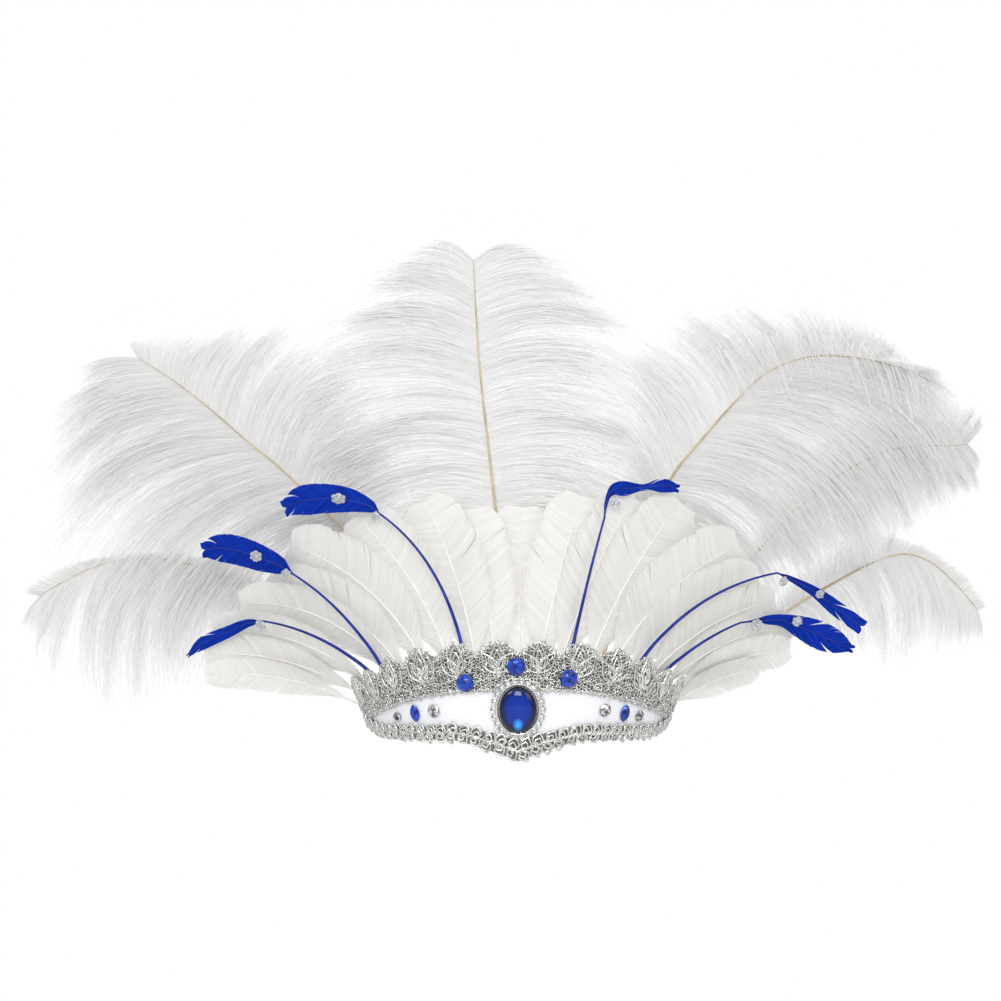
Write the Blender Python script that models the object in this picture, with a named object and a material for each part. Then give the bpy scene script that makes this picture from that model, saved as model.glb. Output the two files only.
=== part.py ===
# Showgirl feather headdress: a stiff flared band with silver lace, braid and blue stones,
# a fan of goose feathers, six stripped blue quills with crystals and six ostrich plumes.
# Metres, +Z up, front towards -Y. The origin is the middle of the head opening, level with
# the band's lower edge at the sides. All sizes below are in millimetres and degrees.
import math

import bpy
from mathutils import Vector

MM = 0.001

# Band: an oval that leans outward with height
BAND_HALF_WIDTH = 82.0
BAND_HALF_DEPTH = 95.0
SIDE_FLARE = 0.40
FRONT_FLARE = 0.20
FLARE_TOP = 45.0
BAND_END = 78.0
BAND_WALL = 2.4
GAP = 0.3
LOW_Z = -1.6
V_DROP = 10.8
V_HALF = 34.0
END_RISE = 6.0
END_START = 58.0
BRAID_TALL = 8.0
BRAID_CENTER_EXTRA = 4.4
BRAID_SPREAD = 45.0
BRAID_OVERHANG = 1.5
BRAID_THICK = 2.0
LACE_THICK = 1.9
LACE_LOW_Z = 27.0
LACE_LOW_DROP = 16.0
LACE_PEAK_Z = 54.5
LACE_PEAK_DROP = 22.0
LACE_HALF_SPAN = 90.0
SCALLOPS = 12
SCALLOP_DEPTH = 7.5
BAND_BELOW_PEAK = 11.5

# Stones and their setting
SETTING_Z = 17.0
SETTING_OUTER = (13.8, 15.4)
SETTING_INNER = (10.6, 13.3)
SETTING_LOBES = 22
SETTING_TALL = 3.6
STONE_SEAT = 0.4
# Share of the stone's size and share of its height, from its back to its table
STONE_LEVELS = ((0.90, 0.0), (1.0, 0.30), (0.80, 0.72), (0.52, 1.0))
CRYSTAL_LEVELS = ((0.85, 0.0), (1.0, 0.35), (0.55, 1.0))

# Layers behind the band, measured inward from its outer face
GOOSE_LAYER = 3.7
PLUME_LAYER = 6.6
BACKING_LAYER = 8.7
BACKING_WALL = 2.0
BACKING_LOW = 9.5
BACKING_HIGH = 24.0
BACKING_END = 66.0
STRAP_LAYER = 2.8
STRAP_WALL = 1.2
STRAP_START = 71.0
STRAP_LOW = -0.5
STRAP_HIGH = 6.6

# Fan of feathers
ROOT_Z = 12.0
ROOT_FALL = 0.2
ROOT_FALL_START = 50.0
FAN_SPREAD = 0.95
FAN_LEAN = 0.10
FAN_TURN = 1.5
FAN_DEPTH = 0.93
FAN_BLEND = 24.0
# Parts further back than the band's front look smaller in the photo by these shares
VIEW_MID_Z = 130.0
GOOSE_GROW = 1.02
BLUE_GROW = 1.02
PLUME_GROW = 1.035
END_SHARE = 0.978
END_SETTLE = 0.03
SHINGLE = 0.18


def clamp(value, low=0.0, high=1.0):
    return max(low, min(high, value))


def smooth(value):
    value = clamp(value)
    return value * value * (3 - 2 * value)


def mix(a, b, share):
    return a + (b - a) * share


def spline(rows, share):
    """Row of values at a share of the way along a table, by Catmull-Rom between its rows."""
    last = len(rows) - 1
    place = clamp(share) * last
    i = min(int(place), last - 1)
    f = place - i
    four = [rows[clamp(i + k, 0, last)] for k in (-1, 0, 1, 2)]
    out = []
    for a, b, c, d in zip(*four):
        out.append(0.5 * (2 * b + (c - a) * f + (2 * a - 5 * b + 4 * c - d) * f ** 2
                          + (3 * b - a - 3 * c + d) * f ** 3))
    return out


def material(name, color, roughness, metallic=0.0, transmission=0.0):
    mat = bpy.data.materials.new(name)
    mat.use_nodes = True
    shader = mat.node_tree.nodes["Principled BSDF"]
    shader.inputs["Base Color"].default_value = (*color, 1.0)
    shader.inputs["Roughness"].default_value = roughness
    shader.inputs["Metallic"].default_value = metallic
    shader.inputs["Transmission Weight"].default_value = transmission
    return mat


def add_object(name, points, faces, mat):
    """One closed solid from points in millimetres."""
    mesh = bpy.data.meshes.new(name)
    # A face starts at its last corner: from the first one, some solids come back from STEP inside out.
    faces = [(face[-1], *face[:-1]) for face in faces]
    mesh.from_pydata([Vector(p) * MM for p in points], [], faces)
    mesh.validate()
    mesh.materials.append(mat)
    obj = bpy.data.objects.new(name, mesh)
    bpy.context.collection.objects.link(obj)
    return obj


def signed_volume(points, faces):
    total = 0.0
    for face in faces:
        a = Vector(points[face[0]])
        for k in range(1, len(face) - 1):
            b = Vector(points[face[k]])
            c = Vector(points[face[k + 1]])
            total += a.dot(b.cross(c))
    return total / 6


def outward(points, faces):
    """The same faces, turned so that the solid's faces point outward."""
    if signed_volume(points, faces) < 0:
        return [tuple(reversed(face)) for face in faces]
    return faces


def loft(name, loops, mat, closed=False, back=None):
    """Solid through loops of points; a closed one runs round to its first loop.

    The quads from the loop's point back on split along the mirrored diagonal, so the back of
    a thin twisted vane stays behind its front.
    """
    count = len(loops[0])
    points = [p for loop in loops for p in loop]
    faces = []
    if not closed:
        end = (len(loops) - 1) * count
        for j in range(1, count - 1):
            faces.append((0, j + 1, j))
            faces.append((end, end + j, end + j + 1))
    spans = len(loops) if closed else len(loops) - 1
    for i in range(spans):
        a = i * count
        b = ((i + 1) % len(loops)) * count
        for j in range(count):
            k = (j + 1) % count
            if back is None or j < back:
                faces.append((a + j, a + k, b + k))
                faces.append((a + j, b + k, b + j))
            else:
                faces.append((a + j, a + k, b + j))
                faces.append((a + k, b + k, b + j))
    return add_object(name, points, outward(points, faces), mat)


def half_width(z):
    return BAND_HALF_WIDTH + SIDE_FLARE * z


def half_depth(z):
    return BAND_HALF_DEPTH + FRONT_FLARE * min(z, FLARE_TOP)


def wall(turn, z, out):
    """Point of the band at a turn from the front, a height, and out from its outer face."""
    t = math.radians(turn)
    return Vector(((half_width(z) + out) * math.sin(t), -(half_depth(z) + out) * math.cos(t), z))


def turn_at(x, z):
    return math.degrees(math.asin(clamp(x / half_width(z), -0.999, 0.999)))


def lower_edge(turn):
    """Height of the braid's lower edge, with the V at the front."""
    x = abs(BAND_HALF_WIDTH * math.sin(math.radians(turn)))
    drop = V_DROP * clamp(1 - x / V_HALF) ** 1.2
    rise = END_RISE * clamp((abs(turn) - END_START) / (BAND_END - END_START)) ** 2
    return LOW_Z - drop + rise


def braid_top(turn):
    x = abs(BAND_HALF_WIDTH * math.sin(math.radians(turn)))
    return lower_edge(turn) + BRAID_TALL + BRAID_CENTER_EXTRA * math.exp(-(x / BRAID_SPREAD) ** 2)


def lace_low(turn):
    """Height of the lace's lower edge: it arches over the setting and meets the braid."""
    x = abs(half_width(20) * math.sin(math.radians(turn)))
    z = LACE_LOW_Z - LACE_LOW_DROP * (x / 82.0) ** 2.6
    reach = (SETTING_OUTER[0] + 1.4, SETTING_OUTER[1] + 0.9)
    if x < reach[0]:
        z = max(z, SETTING_Z + reach[1] * math.sqrt(1 - (x / reach[0]) ** 2))
    return max(z, braid_top(turn) + 0.8)


def lace_peak(x):
    return LACE_PEAK_Z - LACE_PEAK_DROP * clamp(abs(x) / LACE_HALF_SPAN) ** 3


def band_top(x):
    return lace_peak(x) - BAND_BELOW_PEAK


def spread(low, high, count):
    return [mix(low, high, i / count) for i in range(count + 1)]


def build_band(mat):
    def section(turn):
        low = lower_edge(turn) + BRAID_OVERHANG
        high = band_top(half_width(30) * math.sin(math.radians(turn)))
        return [wall(turn, low, 0), wall(turn, high, 0),
                wall(turn, high, -BAND_WALL), wall(turn, low, -BAND_WALL)]

    loft("band", [section(turn) for turn in spread(-BAND_END, BAND_END, 56)], mat)


def build_braid(mat):
    """Braid of leaf-like lobes: both edges scallop and a raised cord winds along the middle."""
    lobes = 34
    turns = spread(-BAND_END, BAND_END, lobes * 2)
    loops = []
    for i, turn in enumerate(turns):
        swell = 0.5 if i % 2 else -0.5
        low = lower_edge(turn) + 0.5 - swell
        high = braid_top(turn) - 0.6 + swell
        crest = mix(low, high, 0.62 if i % 2 else 0.38)
        loops.append([wall(turn, low, GAP), wall(turn, low, GAP + 1.3),
                      wall(turn, crest, GAP + BRAID_THICK + (0.7 if i % 2 else 0.0)),
                      wall(turn, high, GAP + 1.3), wall(turn, high, GAP)])
    loft("bottom_braid", loops, mat)


def lace_height(turn, row):
    """Height of the lace's row, from 0 at its lower edge to 1 at its scalloped edge."""
    wave = abs(math.cos(math.pi * SCALLOPS * (turn + BAND_END) / (2 * BAND_END) + math.pi / 2))
    low = lace_low(turn)
    peak = lace_peak(half_width(40) * math.sin(math.radians(turn)))
    top = peak - SCALLOP_DEPTH * (1 - wave)
    return mix(low, top, row)


def build_lace(mat):
    """Scalloped lace, cut through in each scallop and raised along its ribs."""
    per = 6
    columns = SCALLOPS * per
    rows = (0.0, 0.2, 0.42, 0.62, 0.84, 1.0)
    turns = spread(-BAND_END, BAND_END, columns)
    ends = (0, columns - 1)

    def is_open(i, j):
        k = i % per
        if i in ends:
            return False
        if j == 1:
            return k == 2
        if j == 3:
            return k in (1, 4)
        return False

    points = []
    index = {}
    for side in (0, 1):
        for i, turn in enumerate(turns):
            for j, row in enumerate(rows):
                raised = 0.5 if (i + j) % 2 else 0.0
                out = GAP if side == 0 else GAP + LACE_THICK - 0.5 + raised
                index[side, i, j] = len(points)
                points.append(wall(turn, lace_height(turn, row), out))
    faces = []

    def cell(i, j):
        inside = 0 <= i < columns and 0 <= j < len(rows) - 1
        return inside and not is_open(i, j)

    def quad(a, b, c, d):
        faces.append((a, b, c))
        faces.append((a, c, d))

    for i in range(columns):
        for j in range(len(rows) - 1):
            if not cell(i, j):
                continue
            corners = ((i, j), (i + 1, j), (i + 1, j + 1), (i, j + 1))
            quad(*[index[(1, *c)] for c in corners])
            quad(*[index[(0, *c)] for c in reversed(corners)])
            beyond = ((i, j - 1), (i + 1, j), (i, j + 1), (i - 1, j))
            for k in range(4):
                if not cell(*beyond[k]):
                    a = corners[k]
                    b = corners[(k + 1) % 4]
                    quad(index[(0, *a)], index[(0, *b)], index[(1, *b)], index[(1, *a)])
    add_object("top_lace", points, outward(points, faces), mat)


def build_setting(mat):
    """Oval setting with a lobed rim, bent to the band's face."""
    count = SETTING_LOBES * 2
    loops = []
    for i in range(count):
        a = 2 * math.pi * i / count
        lobe = 0.55 if i % 2 else 0.0
        loop = []
        profile = ((0.0, 0.0), (0.0, 2.0), (0.35, SETTING_TALL), (0.75, SETTING_TALL - 0.8),
                   (1.0, 1.6), (1.0, 0.0))
        for share, tall in profile:
            grow = lobe * share
            across = mix(SETTING_INNER[0], SETTING_OUTER[0], share) - grow
            along = mix(SETTING_INNER[1], SETTING_OUTER[1], share) - grow
            x = across * math.sin(a)
            z = SETTING_Z + along * math.cos(a)
            loop.append(wall(turn_at(x, z), z, GAP + tall))
        loops.append(loop)
    loft("gem_setting", loops, mat, closed=True)


def seat(turn, z, out):
    """Place and axes of a stone on the band: origin, right, up and outward."""
    origin = wall(turn, z, out)
    right = (wall(turn + 0.5, z, out) - wall(turn - 0.5, z, out)).normalized()
    up = (wall(turn, z + 0.5, out) - wall(turn, z - 0.5, out)).normalized()
    out_axis = up.cross(right).normalized()
    if out_axis.dot(Vector((origin.x, origin.y, 0))) < 0:
        out_axis.negate()
    up = (out_axis.cross(right)).normalized()
    if up.z < 0:
        up.negate()
    return origin, right, up, out_axis


def cut_stone(name, frame, half, tall, sides, mat, levels, pointed=0.0):
    """Cut stone with a flat back, a girdle, facets and a table: levels of size and height."""
    origin, right, up, out_axis = frame
    loops = []
    for level, (share, height) in enumerate(levels):
        loop = []
        for i in range(sides):
            a = 2 * math.pi * (i + (0.5 if level == 2 else 0.0)) / sides
            narrow = 1 - pointed * abs(math.cos(a)) ** 3
            across = half[0] * share * math.sin(a) * narrow
            along = half[1] * share * math.cos(a)
            loop.append(origin + right * across + up * along + out_axis * tall * height)
        loops.append(loop)
    return loft(name, loops, mat)


def build_stones(blue, clear):
    cut_stone("center_gem", seat(0.0, SETTING_Z, STONE_SEAT), (10.2, 12.9), 5.6, 16, blue,
              STONE_LEVELS)
    # name, x, z, radius of the round blue stones on the lace
    rounds = (("round_gem_left", -27.5, 31.3, 5.0), ("round_gem_top", -1.0, 40.5, 5.0),
              ("round_gem_right", 26.5, 33.8, 5.0))
    on_lace = GAP + LACE_THICK + GAP + 0.2
    for name, x, z, radius in rounds:
        cut_stone(name, seat(turn_at(x, z), z, on_lace), (radius, radius), 3.4, 12, blue,
                  STONE_LEVELS)
    # name, x, z, half width, half height, colour, narrowing towards its two points
    sides = (("side_clear_1_left", -65.3, 11.6, 2.7, 2.7, clear, 0.0),
             ("side_blue_left", -55.6, 14.0, 3.2, 5.0, blue, 0.25),
             ("side_clear_2_left", -45.4, 15.6, 3.7, 3.7, clear, 0.0),
             ("side_clear_1_right", 47.0, 15.9, 3.7, 3.7, clear, 0.0),
             ("side_blue_right", 57.8, 13.8, 3.2, 5.0, blue, 0.25),
             ("side_clear_2_right", 66.0, 12.0, 3.1, 3.1, clear, 0.0))
    for name, x, z, across, along, mat, pointed in sides:
        cut_stone(name, seat(turn_at(x, z), z, STONE_SEAT), (across, along), 2.6, 10, mat,
                  STONE_LEVELS, pointed)


def build_strap(mat):
    def section(turn):
        return [wall(turn, STRAP_LOW, -STRAP_LAYER), wall(turn, STRAP_HIGH, -STRAP_LAYER),
                wall(turn, STRAP_HIGH, -STRAP_LAYER - STRAP_WALL),
                wall(turn, STRAP_LOW, -STRAP_LAYER - STRAP_WALL)]

    loft("strap", [section(turn) for turn in spread(STRAP_START, 360 - STRAP_START, 36)], mat)


def build_backing(mat):
    def section(turn):
        return [wall(turn, BACKING_LOW, -BACKING_LAYER), wall(turn, BACKING_HIGH, -BACKING_LAYER),
                wall(turn, BACKING_HIGH, -BACKING_LAYER - BACKING_WALL),
                wall(turn, BACKING_LOW, -BACKING_LAYER - BACKING_WALL)]

    loft("root_backing", [section(turn) for turn in spread(-BACKING_END, BACKING_END, 40)], mat)


def behind_band(x, z, layer):
    """Depth y of the band's inner side at a layer; past the band's ends it levels off."""
    q = abs(x) / (half_width(z) - layer)
    past = 0.0
    if q <= END_SHARE:
        g = 1 - math.sqrt(1 - q * q)
    else:
        root = math.sqrt(1 - END_SHARE ** 2)
        past = 1 - math.exp(-(q - END_SHARE) / END_SETTLE)
        g = 1 - root + END_SHARE / root * END_SETTLE * past
    return -(half_depth(z) - layer) * (1 - g) + (layer - GOOSE_LAYER) * past


def fan_depth(x, z, layer):
    """Depth y of the surface on which the feathers lie, for a place seen from the front."""
    top = band_top(x)
    above = max(0.0, z - top)
    low = min(z, top)
    spread_at = half_width(low) - layer + FAN_SPREAD * above
    q = min(abs(x) / spread_at, FAN_TURN)
    g = FAN_DEPTH * (1 - math.cos(math.pi * q / FAN_TURN)) / 2
    fan = -(half_depth(FLARE_TOP) - layer) * (1 - g) + (layer - GOOSE_LAYER) * g
    base = behind_band(x, z, layer)
    share = smooth((above - 1.5) / FAN_BLEND)
    return mix(base, fan, share) + FAN_LEAN * max(0.0, z - FLARE_TOP)


def steepness(x, z, layer):
    step = 2.0
    dx = (fan_depth(x + step, z, layer) - fan_depth(x - step, z, layer)) / (2 * step)
    dz = (fan_depth(x, z + step, layer) - fan_depth(x, z - step, layer)) / (2 * step)
    return math.sqrt(1 + dx * dx + dz * dz)


def on_fan(x, z, layer, back):
    """Point behind the fan's surface by a distance, as seen from the front at x and z."""
    return Vector((x, fan_depth(x, z, layer) + steepness(x, z, layer) * back, z))


def as_seen(x, z, share):
    """A place read from the photo, moved out by the share that its distance takes off."""
    return x * share, VIEW_MID_Z + (z - VIEW_MID_Z) * share


def arc_path(start, end, bend, power, shares):
    """Places from start to end whose direction turns outward by bend degrees, and its turns."""
    side = 1 if end[0] >= start[0] else -1
    steps = 240
    x = z = 0.0
    raw = [(0.0, 0.0)]
    for i in range(steps):
        a = math.radians(bend) * ((i + 0.5) / steps) ** power
        x += math.sin(a) / steps
        z += math.cos(a) / steps
        raw.append((x, z))
    chord = Vector((side * (end[0] - start[0]), end[1] - start[1]))
    turn = math.atan2(chord.x, chord.y) - math.atan2(x, z)
    scale = chord.length / math.hypot(x, z)
    places = []
    for share in shares:
        px, pz = raw[int(round(share * steps))]
        rx = px * math.cos(turn) + pz * math.sin(turn)
        rz = -px * math.sin(turn) + pz * math.cos(turn)
        places.append((start[0] + side * rx * scale, start[1] + rz * scale))
    return places


def directions(places):
    """Unit direction along a path at each of its places."""
    out = []
    for i in range(len(places)):
        a = Vector(places[max(0, i - 1)])
        b = Vector(places[min(len(places) - 1, i + 1)])
        out.append((b - a).normalized())
    return out


# Goose feathers from the centre outward: root turn, tip x, tip z, bend, half width, slot
GOOSE_LEFT = (
    (5.5, 24.0, 126.0, 2.0, 17.0, 0.0),
    (13.5, 50.0, 130.0, 22.0, 19.0, 0.0),
    (21.0, 88.0, 122.0, 38.0, 19.0, 0.0),
    (28.5, 124.0, 106.0, 56.0, 19.0, 0.0),
    (36.0, 132.0, 84.0, 56.0, 17.0, 0.0),
    (41.4, 152.0, 73.0, 70.0, 14.0, -0.3),
    (51.5, 167.0, 58.0, 53.4, 12.4, -0.9),
    (60.0, 172.0, 45.0, 44.0, 11.5, -1.7),
    (67.0, 171.8, 34.0, 35.7, 9.4, -2.6),
)
GOOSE_RIGHT = (
    (3.6, 34.0, 133.0, 6.0, 19.0, -2.6),
    (10.0, 62.0, 132.0, 16.0, 18.0, -2.1),
    (20.5, 88.0, 129.0, 24.0, 19.0, -1.6),
    (27.5, 120.0, 106.0, 44.0, 20.0, -1.1),
    (34.5, 131.0, 88.0, 50.0, 17.0, -0.9),
    (43.5, 141.0, 75.0, 48.0, 14.0, -1.1),
    (53.0, 151.0, 61.0, 48.0, 12.5, -1.8),
    (60.5, 150.0, 48.0, 40.0, 11.0, -2.8),
    (67.0, 132.0, 38.0, 26.0, 9.0, -4.0),
)
# Share along a goose feather and its width there as a share of the full width
GOOSE_FORM = (
    (0.0, 0.08),
    (0.09, 0.08),
    (0.17, 0.08),
    (0.25, 0.12),
    (0.32, 0.30),
    (0.41, 0.62),
    (0.53, 0.92),
    (0.68, 1.0),
    (0.82, 0.96),
    (0.93, 0.72),
    (1.0, 0.28),
)
CENTER_SLOT = 2.6
SHAFT_WIDE = 1.2
SHAFT_THICK = 1.5
VANE_THICK = 0.6
CURVED_FROM = 44.0


def goose(name, side, row, mat):
    """Goose feather: shaft and vane as one solid, lying on the fan's surface."""
    root_turn, tip_x, tip_z, bend, half, slot = row
    curved = root_turn > CURVED_FROM
    root_z = ROOT_Z - ROOT_FALL * max(0.0, root_turn - ROOT_FALL_START)
    root = wall(side * root_turn, root_z, -GOOSE_LAYER)
    tip = as_seen(side * tip_x if side else tip_x, tip_z, GOOSE_GROW)
    places = arc_path((root.x, root_z), tip, bend, 1.2, [s for s, _ in GOOSE_FORM])
    loops = []
    for (share, wide), place, way in zip(GOOSE_FORM, places, directions(places)):
        across = (way.y, -way.x)
        width = max(half * wide, SHAFT_WIDE)
        shaft = mix(SHAFT_THICK, 0.8, share) / 2
        vane = VANE_THICK / 2
        hold = slot * smooth((share - 0.25) / 0.26)
        bows = [(-1.0, 0.0), (-0.5, -vane), (0.0, -shaft), (0.5, -vane), (1.0, 0.0)]
        bows += [(0.5, vane), (0.0, shaft), (-0.5, vane)] if curved else [(0.0, shaft)]
        loop = []
        for u_share, depth in bows:
            u = u_share * width
            tilt = SHINGLE * u * side
            loop.append(on_fan(place[0] + across[0] * u, place[1] + across[1] * u,
                               GOOSE_LAYER, hold + tilt + depth))
        loops.append(loop)
    loft(name, loops, mat, back=4 if curved else None)


def build_goose(mat):
    goose("goose_center", 0, (0.0, 2.0, 127.0, 0.0, 18.0, CENTER_SLOT), mat)
    for side, table, label in ((-1, GOOSE_LEFT, "left"), (1, GOOSE_RIGHT, "right")):
        for i, row in enumerate(table):
            goose(f"goose_{label}_{i + 1}", side, row, mat)


# Blue quills: name, root turn and z, stem end x and z, bend, power of the bend, then the
# vane's rows: x, z, half width. The stem is bare up to its end.
BLUE_QUILLS = (
    ("blue_quill_left_1", -17.3, 12.0, -73.4, 122.6, 50.0, 1.6, (
        (-80.0, 127.2, 3.8), (-91.0, 130.2, 6.6), (-104.0, 131.0, 8.0), (-116.0, 129.8, 8.0),
        (-124.5, 126.0, 4.6))),
    ("blue_quill_left_2", -48.0, 12.0, -120.4, 89.6, 36.0, 1.2, (
        (-128.5, 94.6, 4.8), (-138.0, 98.2, 7.0), (-147.0, 101.4, 7.8), (-156.0, 103.6, 8.0),
        (-164.0, 104.0, 7.2), (-170.5, 103.0, 4.2))),
    ("blue_quill_left_3", -52.3, 22.0, -139.3, 64.3, 44.0, 1.0, (
        (-148.5, 62.6, 2.4), (-157.7, 58.4, 3.2), (-172.0, 52.0, 3.6), (-180.0, 45.5, 1.0))),
    ("blue_quill_right_1", 15.5, 12.0, 46.0, 121.0, 6.0, 1.0, (
        (46.6, 127.0, 0.9), (48.2, 132.6, 1.4), (51.6, 136.0, 3.2), (57.0, 136.4, 4.0),
        (67.0, 137.0, 1.7), (77.0, 138.0, 3.8), (84.5, 136.6, 2.2))),
    ("blue_quill_right_2", 38.8, 12.0, 141.0, 90.7, 62.0, 1.0, (
        (150.7, 86.4, 1.7), (162.5, 80.0, 2.9), (174.0, 71.4, 4.2), (188.0, 61.2, 4.2))),
    ("blue_quill_right_3", 51.3, 19.0, 121.0, 63.7, 34.0, 1.0, (
        (130.0, 64.6, 1.2), (136.5, 65.0, 2.6), (145.0, 64.4, 3.6), (155.0, 60.8, 6.2),
        (165.8, 56.0, 7.8), (175.5, 52.0, 6.2), (182.5, 49.0, 2.2))),
)
STEM_SHARES = (0.0, 0.08, 0.16, 0.24, 0.32, 0.40, 0.50, 0.62, 0.74, 0.87, 1.0)
STEM_WIDE = 1.1
STEM_THICK = 1.5
BEHIND_LACE = 2.8
STEM_LEAD = 5.6
BLUE_VANE_THICK = 0.8


def blue_lead(x, z):
    """How far a blue quill stands in front of the goose feathers."""
    above = z - band_top(x) - 1.5
    return BEHIND_LACE * smooth(above / 8) + STEM_LEAD * smooth((above - 12.5) / 20)


def blue_quill(row, mat):
    """Stripped quill with the vane left at its tip, one solid."""
    name, root_turn, root_z, end_x, end_z, bend, power, vane = row
    root = wall(root_turn, root_z, -GOOSE_LAYER)
    end = as_seen(end_x, end_z, BLUE_GROW)
    stem = arc_path((root.x, root_z), end, bend, power, STEM_SHARES)
    rows = [(x, z, mix(STEM_WIDE, 0.75, share)) for (x, z), share in zip(stem, STEM_SHARES)]
    rows += [(*as_seen(x, z, BLUE_GROW), half) for x, z, half in vane]
    ways = directions([row[:2] for row in rows])
    loops = []
    for i, ((x, z, half), way) in enumerate(zip(rows, ways)):
        share = i / (len(rows) - 1)
        thick = mix(STEM_THICK, BLUE_VANE_THICK, share) / 2
        lead = blue_lead(x, z)
        loop = []
        for u, depth in ((-half, 0.0), (0.0, -thick), (half, 0.0), (0.0, thick)):
            loop.append(on_fan(x + way.y * u, z - way.x * u, GOOSE_LAYER, depth - lead))
        loops.append(loop)
    loft(name, loops, mat)


# Crystals: name, x, z, half width, half height
CRYSTALS = (
    ("crystal_left_1_stem", -76.0, 121.6, 2.9, 2.9),
    ("crystal_left_1_vane", -96.0, 131.0, 5.0, 3.4),
    ("crystal_left_2_stem", -124.8, 90.4, 3.6, 3.4),
    ("crystal_left_2_vane", -141.5, 100.0, 4.0, 3.6),
    ("crystal_left_3_stem", -140.0, 62.4, 3.4, 3.4),
    ("crystal_right_1_stem", 51.6, 129.0, 3.4, 3.4),
    ("crystal_right_2_stem", 144.4, 86.0, 3.2, 3.2),
    ("crystal_right_2_vane", 165.0, 79.0, 3.0, 2.7),
    ("crystal_right_3_stem", 129.6, 62.8, 3.8, 3.8),
    ("crystal_right_3_vane", 152.8, 64.2, 3.6, 3.2),
)
CRYSTAL_TALL = 2.6
CRYSTAL_SEAT = 0.9


def build_crystals(mat):
    step = 1.0
    for name, seen_x, seen_z, across, along in CRYSTALS:
        x, z = as_seen(seen_x, seen_z, BLUE_GROW)
        back = -(blue_lead(x, z) + CRYSTAL_SEAT)
        origin = on_fan(x, z, GOOSE_LAYER, back)
        right = (on_fan(x + step, z, GOOSE_LAYER, back) - origin).normalized()
        up = (on_fan(x, z + step, GOOSE_LAYER, back) - origin).normalized()
        out_axis = right.cross(up).normalized()
        if out_axis.y > 0:
            out_axis.negate()
        up = out_axis.cross(right).normalized()
        if up.z < 0:
            up.negate()
        cut_stone(name, (origin, right, up, out_axis), (across, along), CRYSTAL_TALL, 8, mat,
                  CRYSTAL_LEVELS)


# Ostrich plumes: a row for each section of the quill: quill x and z, then how far the barbs
# reach from it on its left and its right, each as x and z. Rows without reach are bare quill.
PLUME_CENTER = (
    (-3.0, 14.0, 0.0, 0.0, 0.0, 0.0),
    (-6.0, 50.0, 0.0, 0.0, 0.0, 0.0),
    (-9.0, 88.0, 0.0, 0.0, 0.0, 0.0),
    (-11.0, 118.0, -56.0, -4.0, 58.0, -4.0),
    (-14.5, 150.0, -84.0, -6.0, 86.0, -2.0),
    (-18.0, 180.0, -87.0, 2.0, 88.0, 1.0),
    (-20.5, 205.0, -82.0, 11.0, 80.0, 8.0),
    (-22.0, 228.0, -64.0, 15.0, 64.0, 10.0),
    (-23.0, 246.0, -42.0, 14.0, 48.0, 11.0),
    (-23.5, 258.0, -15.0, 11.0, 22.0, 11.0),
)
PLUME_LEFT = (
    (-36.0, 14.0, 0.0, 0.0, 0.0, 0.0),
    (-52.0, 50.0, 0.0, 0.0, 0.0, 0.0),
    (-73.2, 86.0, 0.0, 0.0, 0.0, 0.0),
    (-90.2, 111.0, -54.0, -66.0, 26.0, 30.2),
    (-107.0, 128.0, -88.0, -76.0, 34.0, 46.0),
    (-127.0, 147.0, -106.0, -60.0, 40.0, 60.0),
    (-148.0, 164.0, -100.0, -40.0, 34.0, 58.0),
    (-168.0, 181.0, -90.0, -26.0, 24.0, 44.0),
    (-188.0, 196.0, -62.0, -16.0, 10.0, 27.0),
    (-207.0, 208.0, -30.0, -2.0, -6.0, 10.0),
)
PLUME_RIGHT = (
    (39.0, 14.0, 0.0, 0.0, 0.0, 0.0),
    (47.0, 50.0, 0.0, 0.0, 0.0, 0.0),
    (60.0, 92.0, 0.0, 0.0, 0.0, 0.0),
    (72.0, 124.0, -16.0, 26.0, 62.0, -34.0),
    (84.0, 146.0, -28.0, 50.0, 80.0, -50.0),
    (100.0, 165.0, -40.0, 50.0, 92.0, -58.0),
    (117.0, 184.0, -36.0, 41.0, 106.0, -50.0),
    (134.0, 199.0, -28.0, 34.0, 104.0, -36.0),
    (157.0, 207.0, -16.0, 28.0, 76.0, -18.0),
    (180.0, 207.0, 0.0, 23.0, 42.0, -4.0),
    (198.0, 204.0, 6.0, 10.0, 18.0, -3.0),
)
PLUME_FAR_LEFT = (
    (-70.0, 14.0, 0.0, 0.0, 0.0, 0.0),
    (-88.0, 32.0, 0.0, 0.0, 0.0, 0.0),
    (-112.0, 58.0, 0.0, 0.0, 0.0, 0.0),
    (-140.0, 80.0, 2.0, -26.0, 0.0, 8.0),
    (-165.0, 91.0, -14.0, -46.0, -6.0, 10.0),
    (-188.0, 96.5, -20.0, -62.0, -8.0, 6.0),
    (-208.0, 98.0, -20.0, -62.0, -12.0, 3.0),
    (-228.0, 95.0, -20.0, -48.0, -8.0, 3.5),
    (-247.0, 87.0, -17.0, -30.0, -9.0, 6.0),
    (-264.0, 77.0, -10.0, -12.0, -9.0, 4.0),
)
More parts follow.
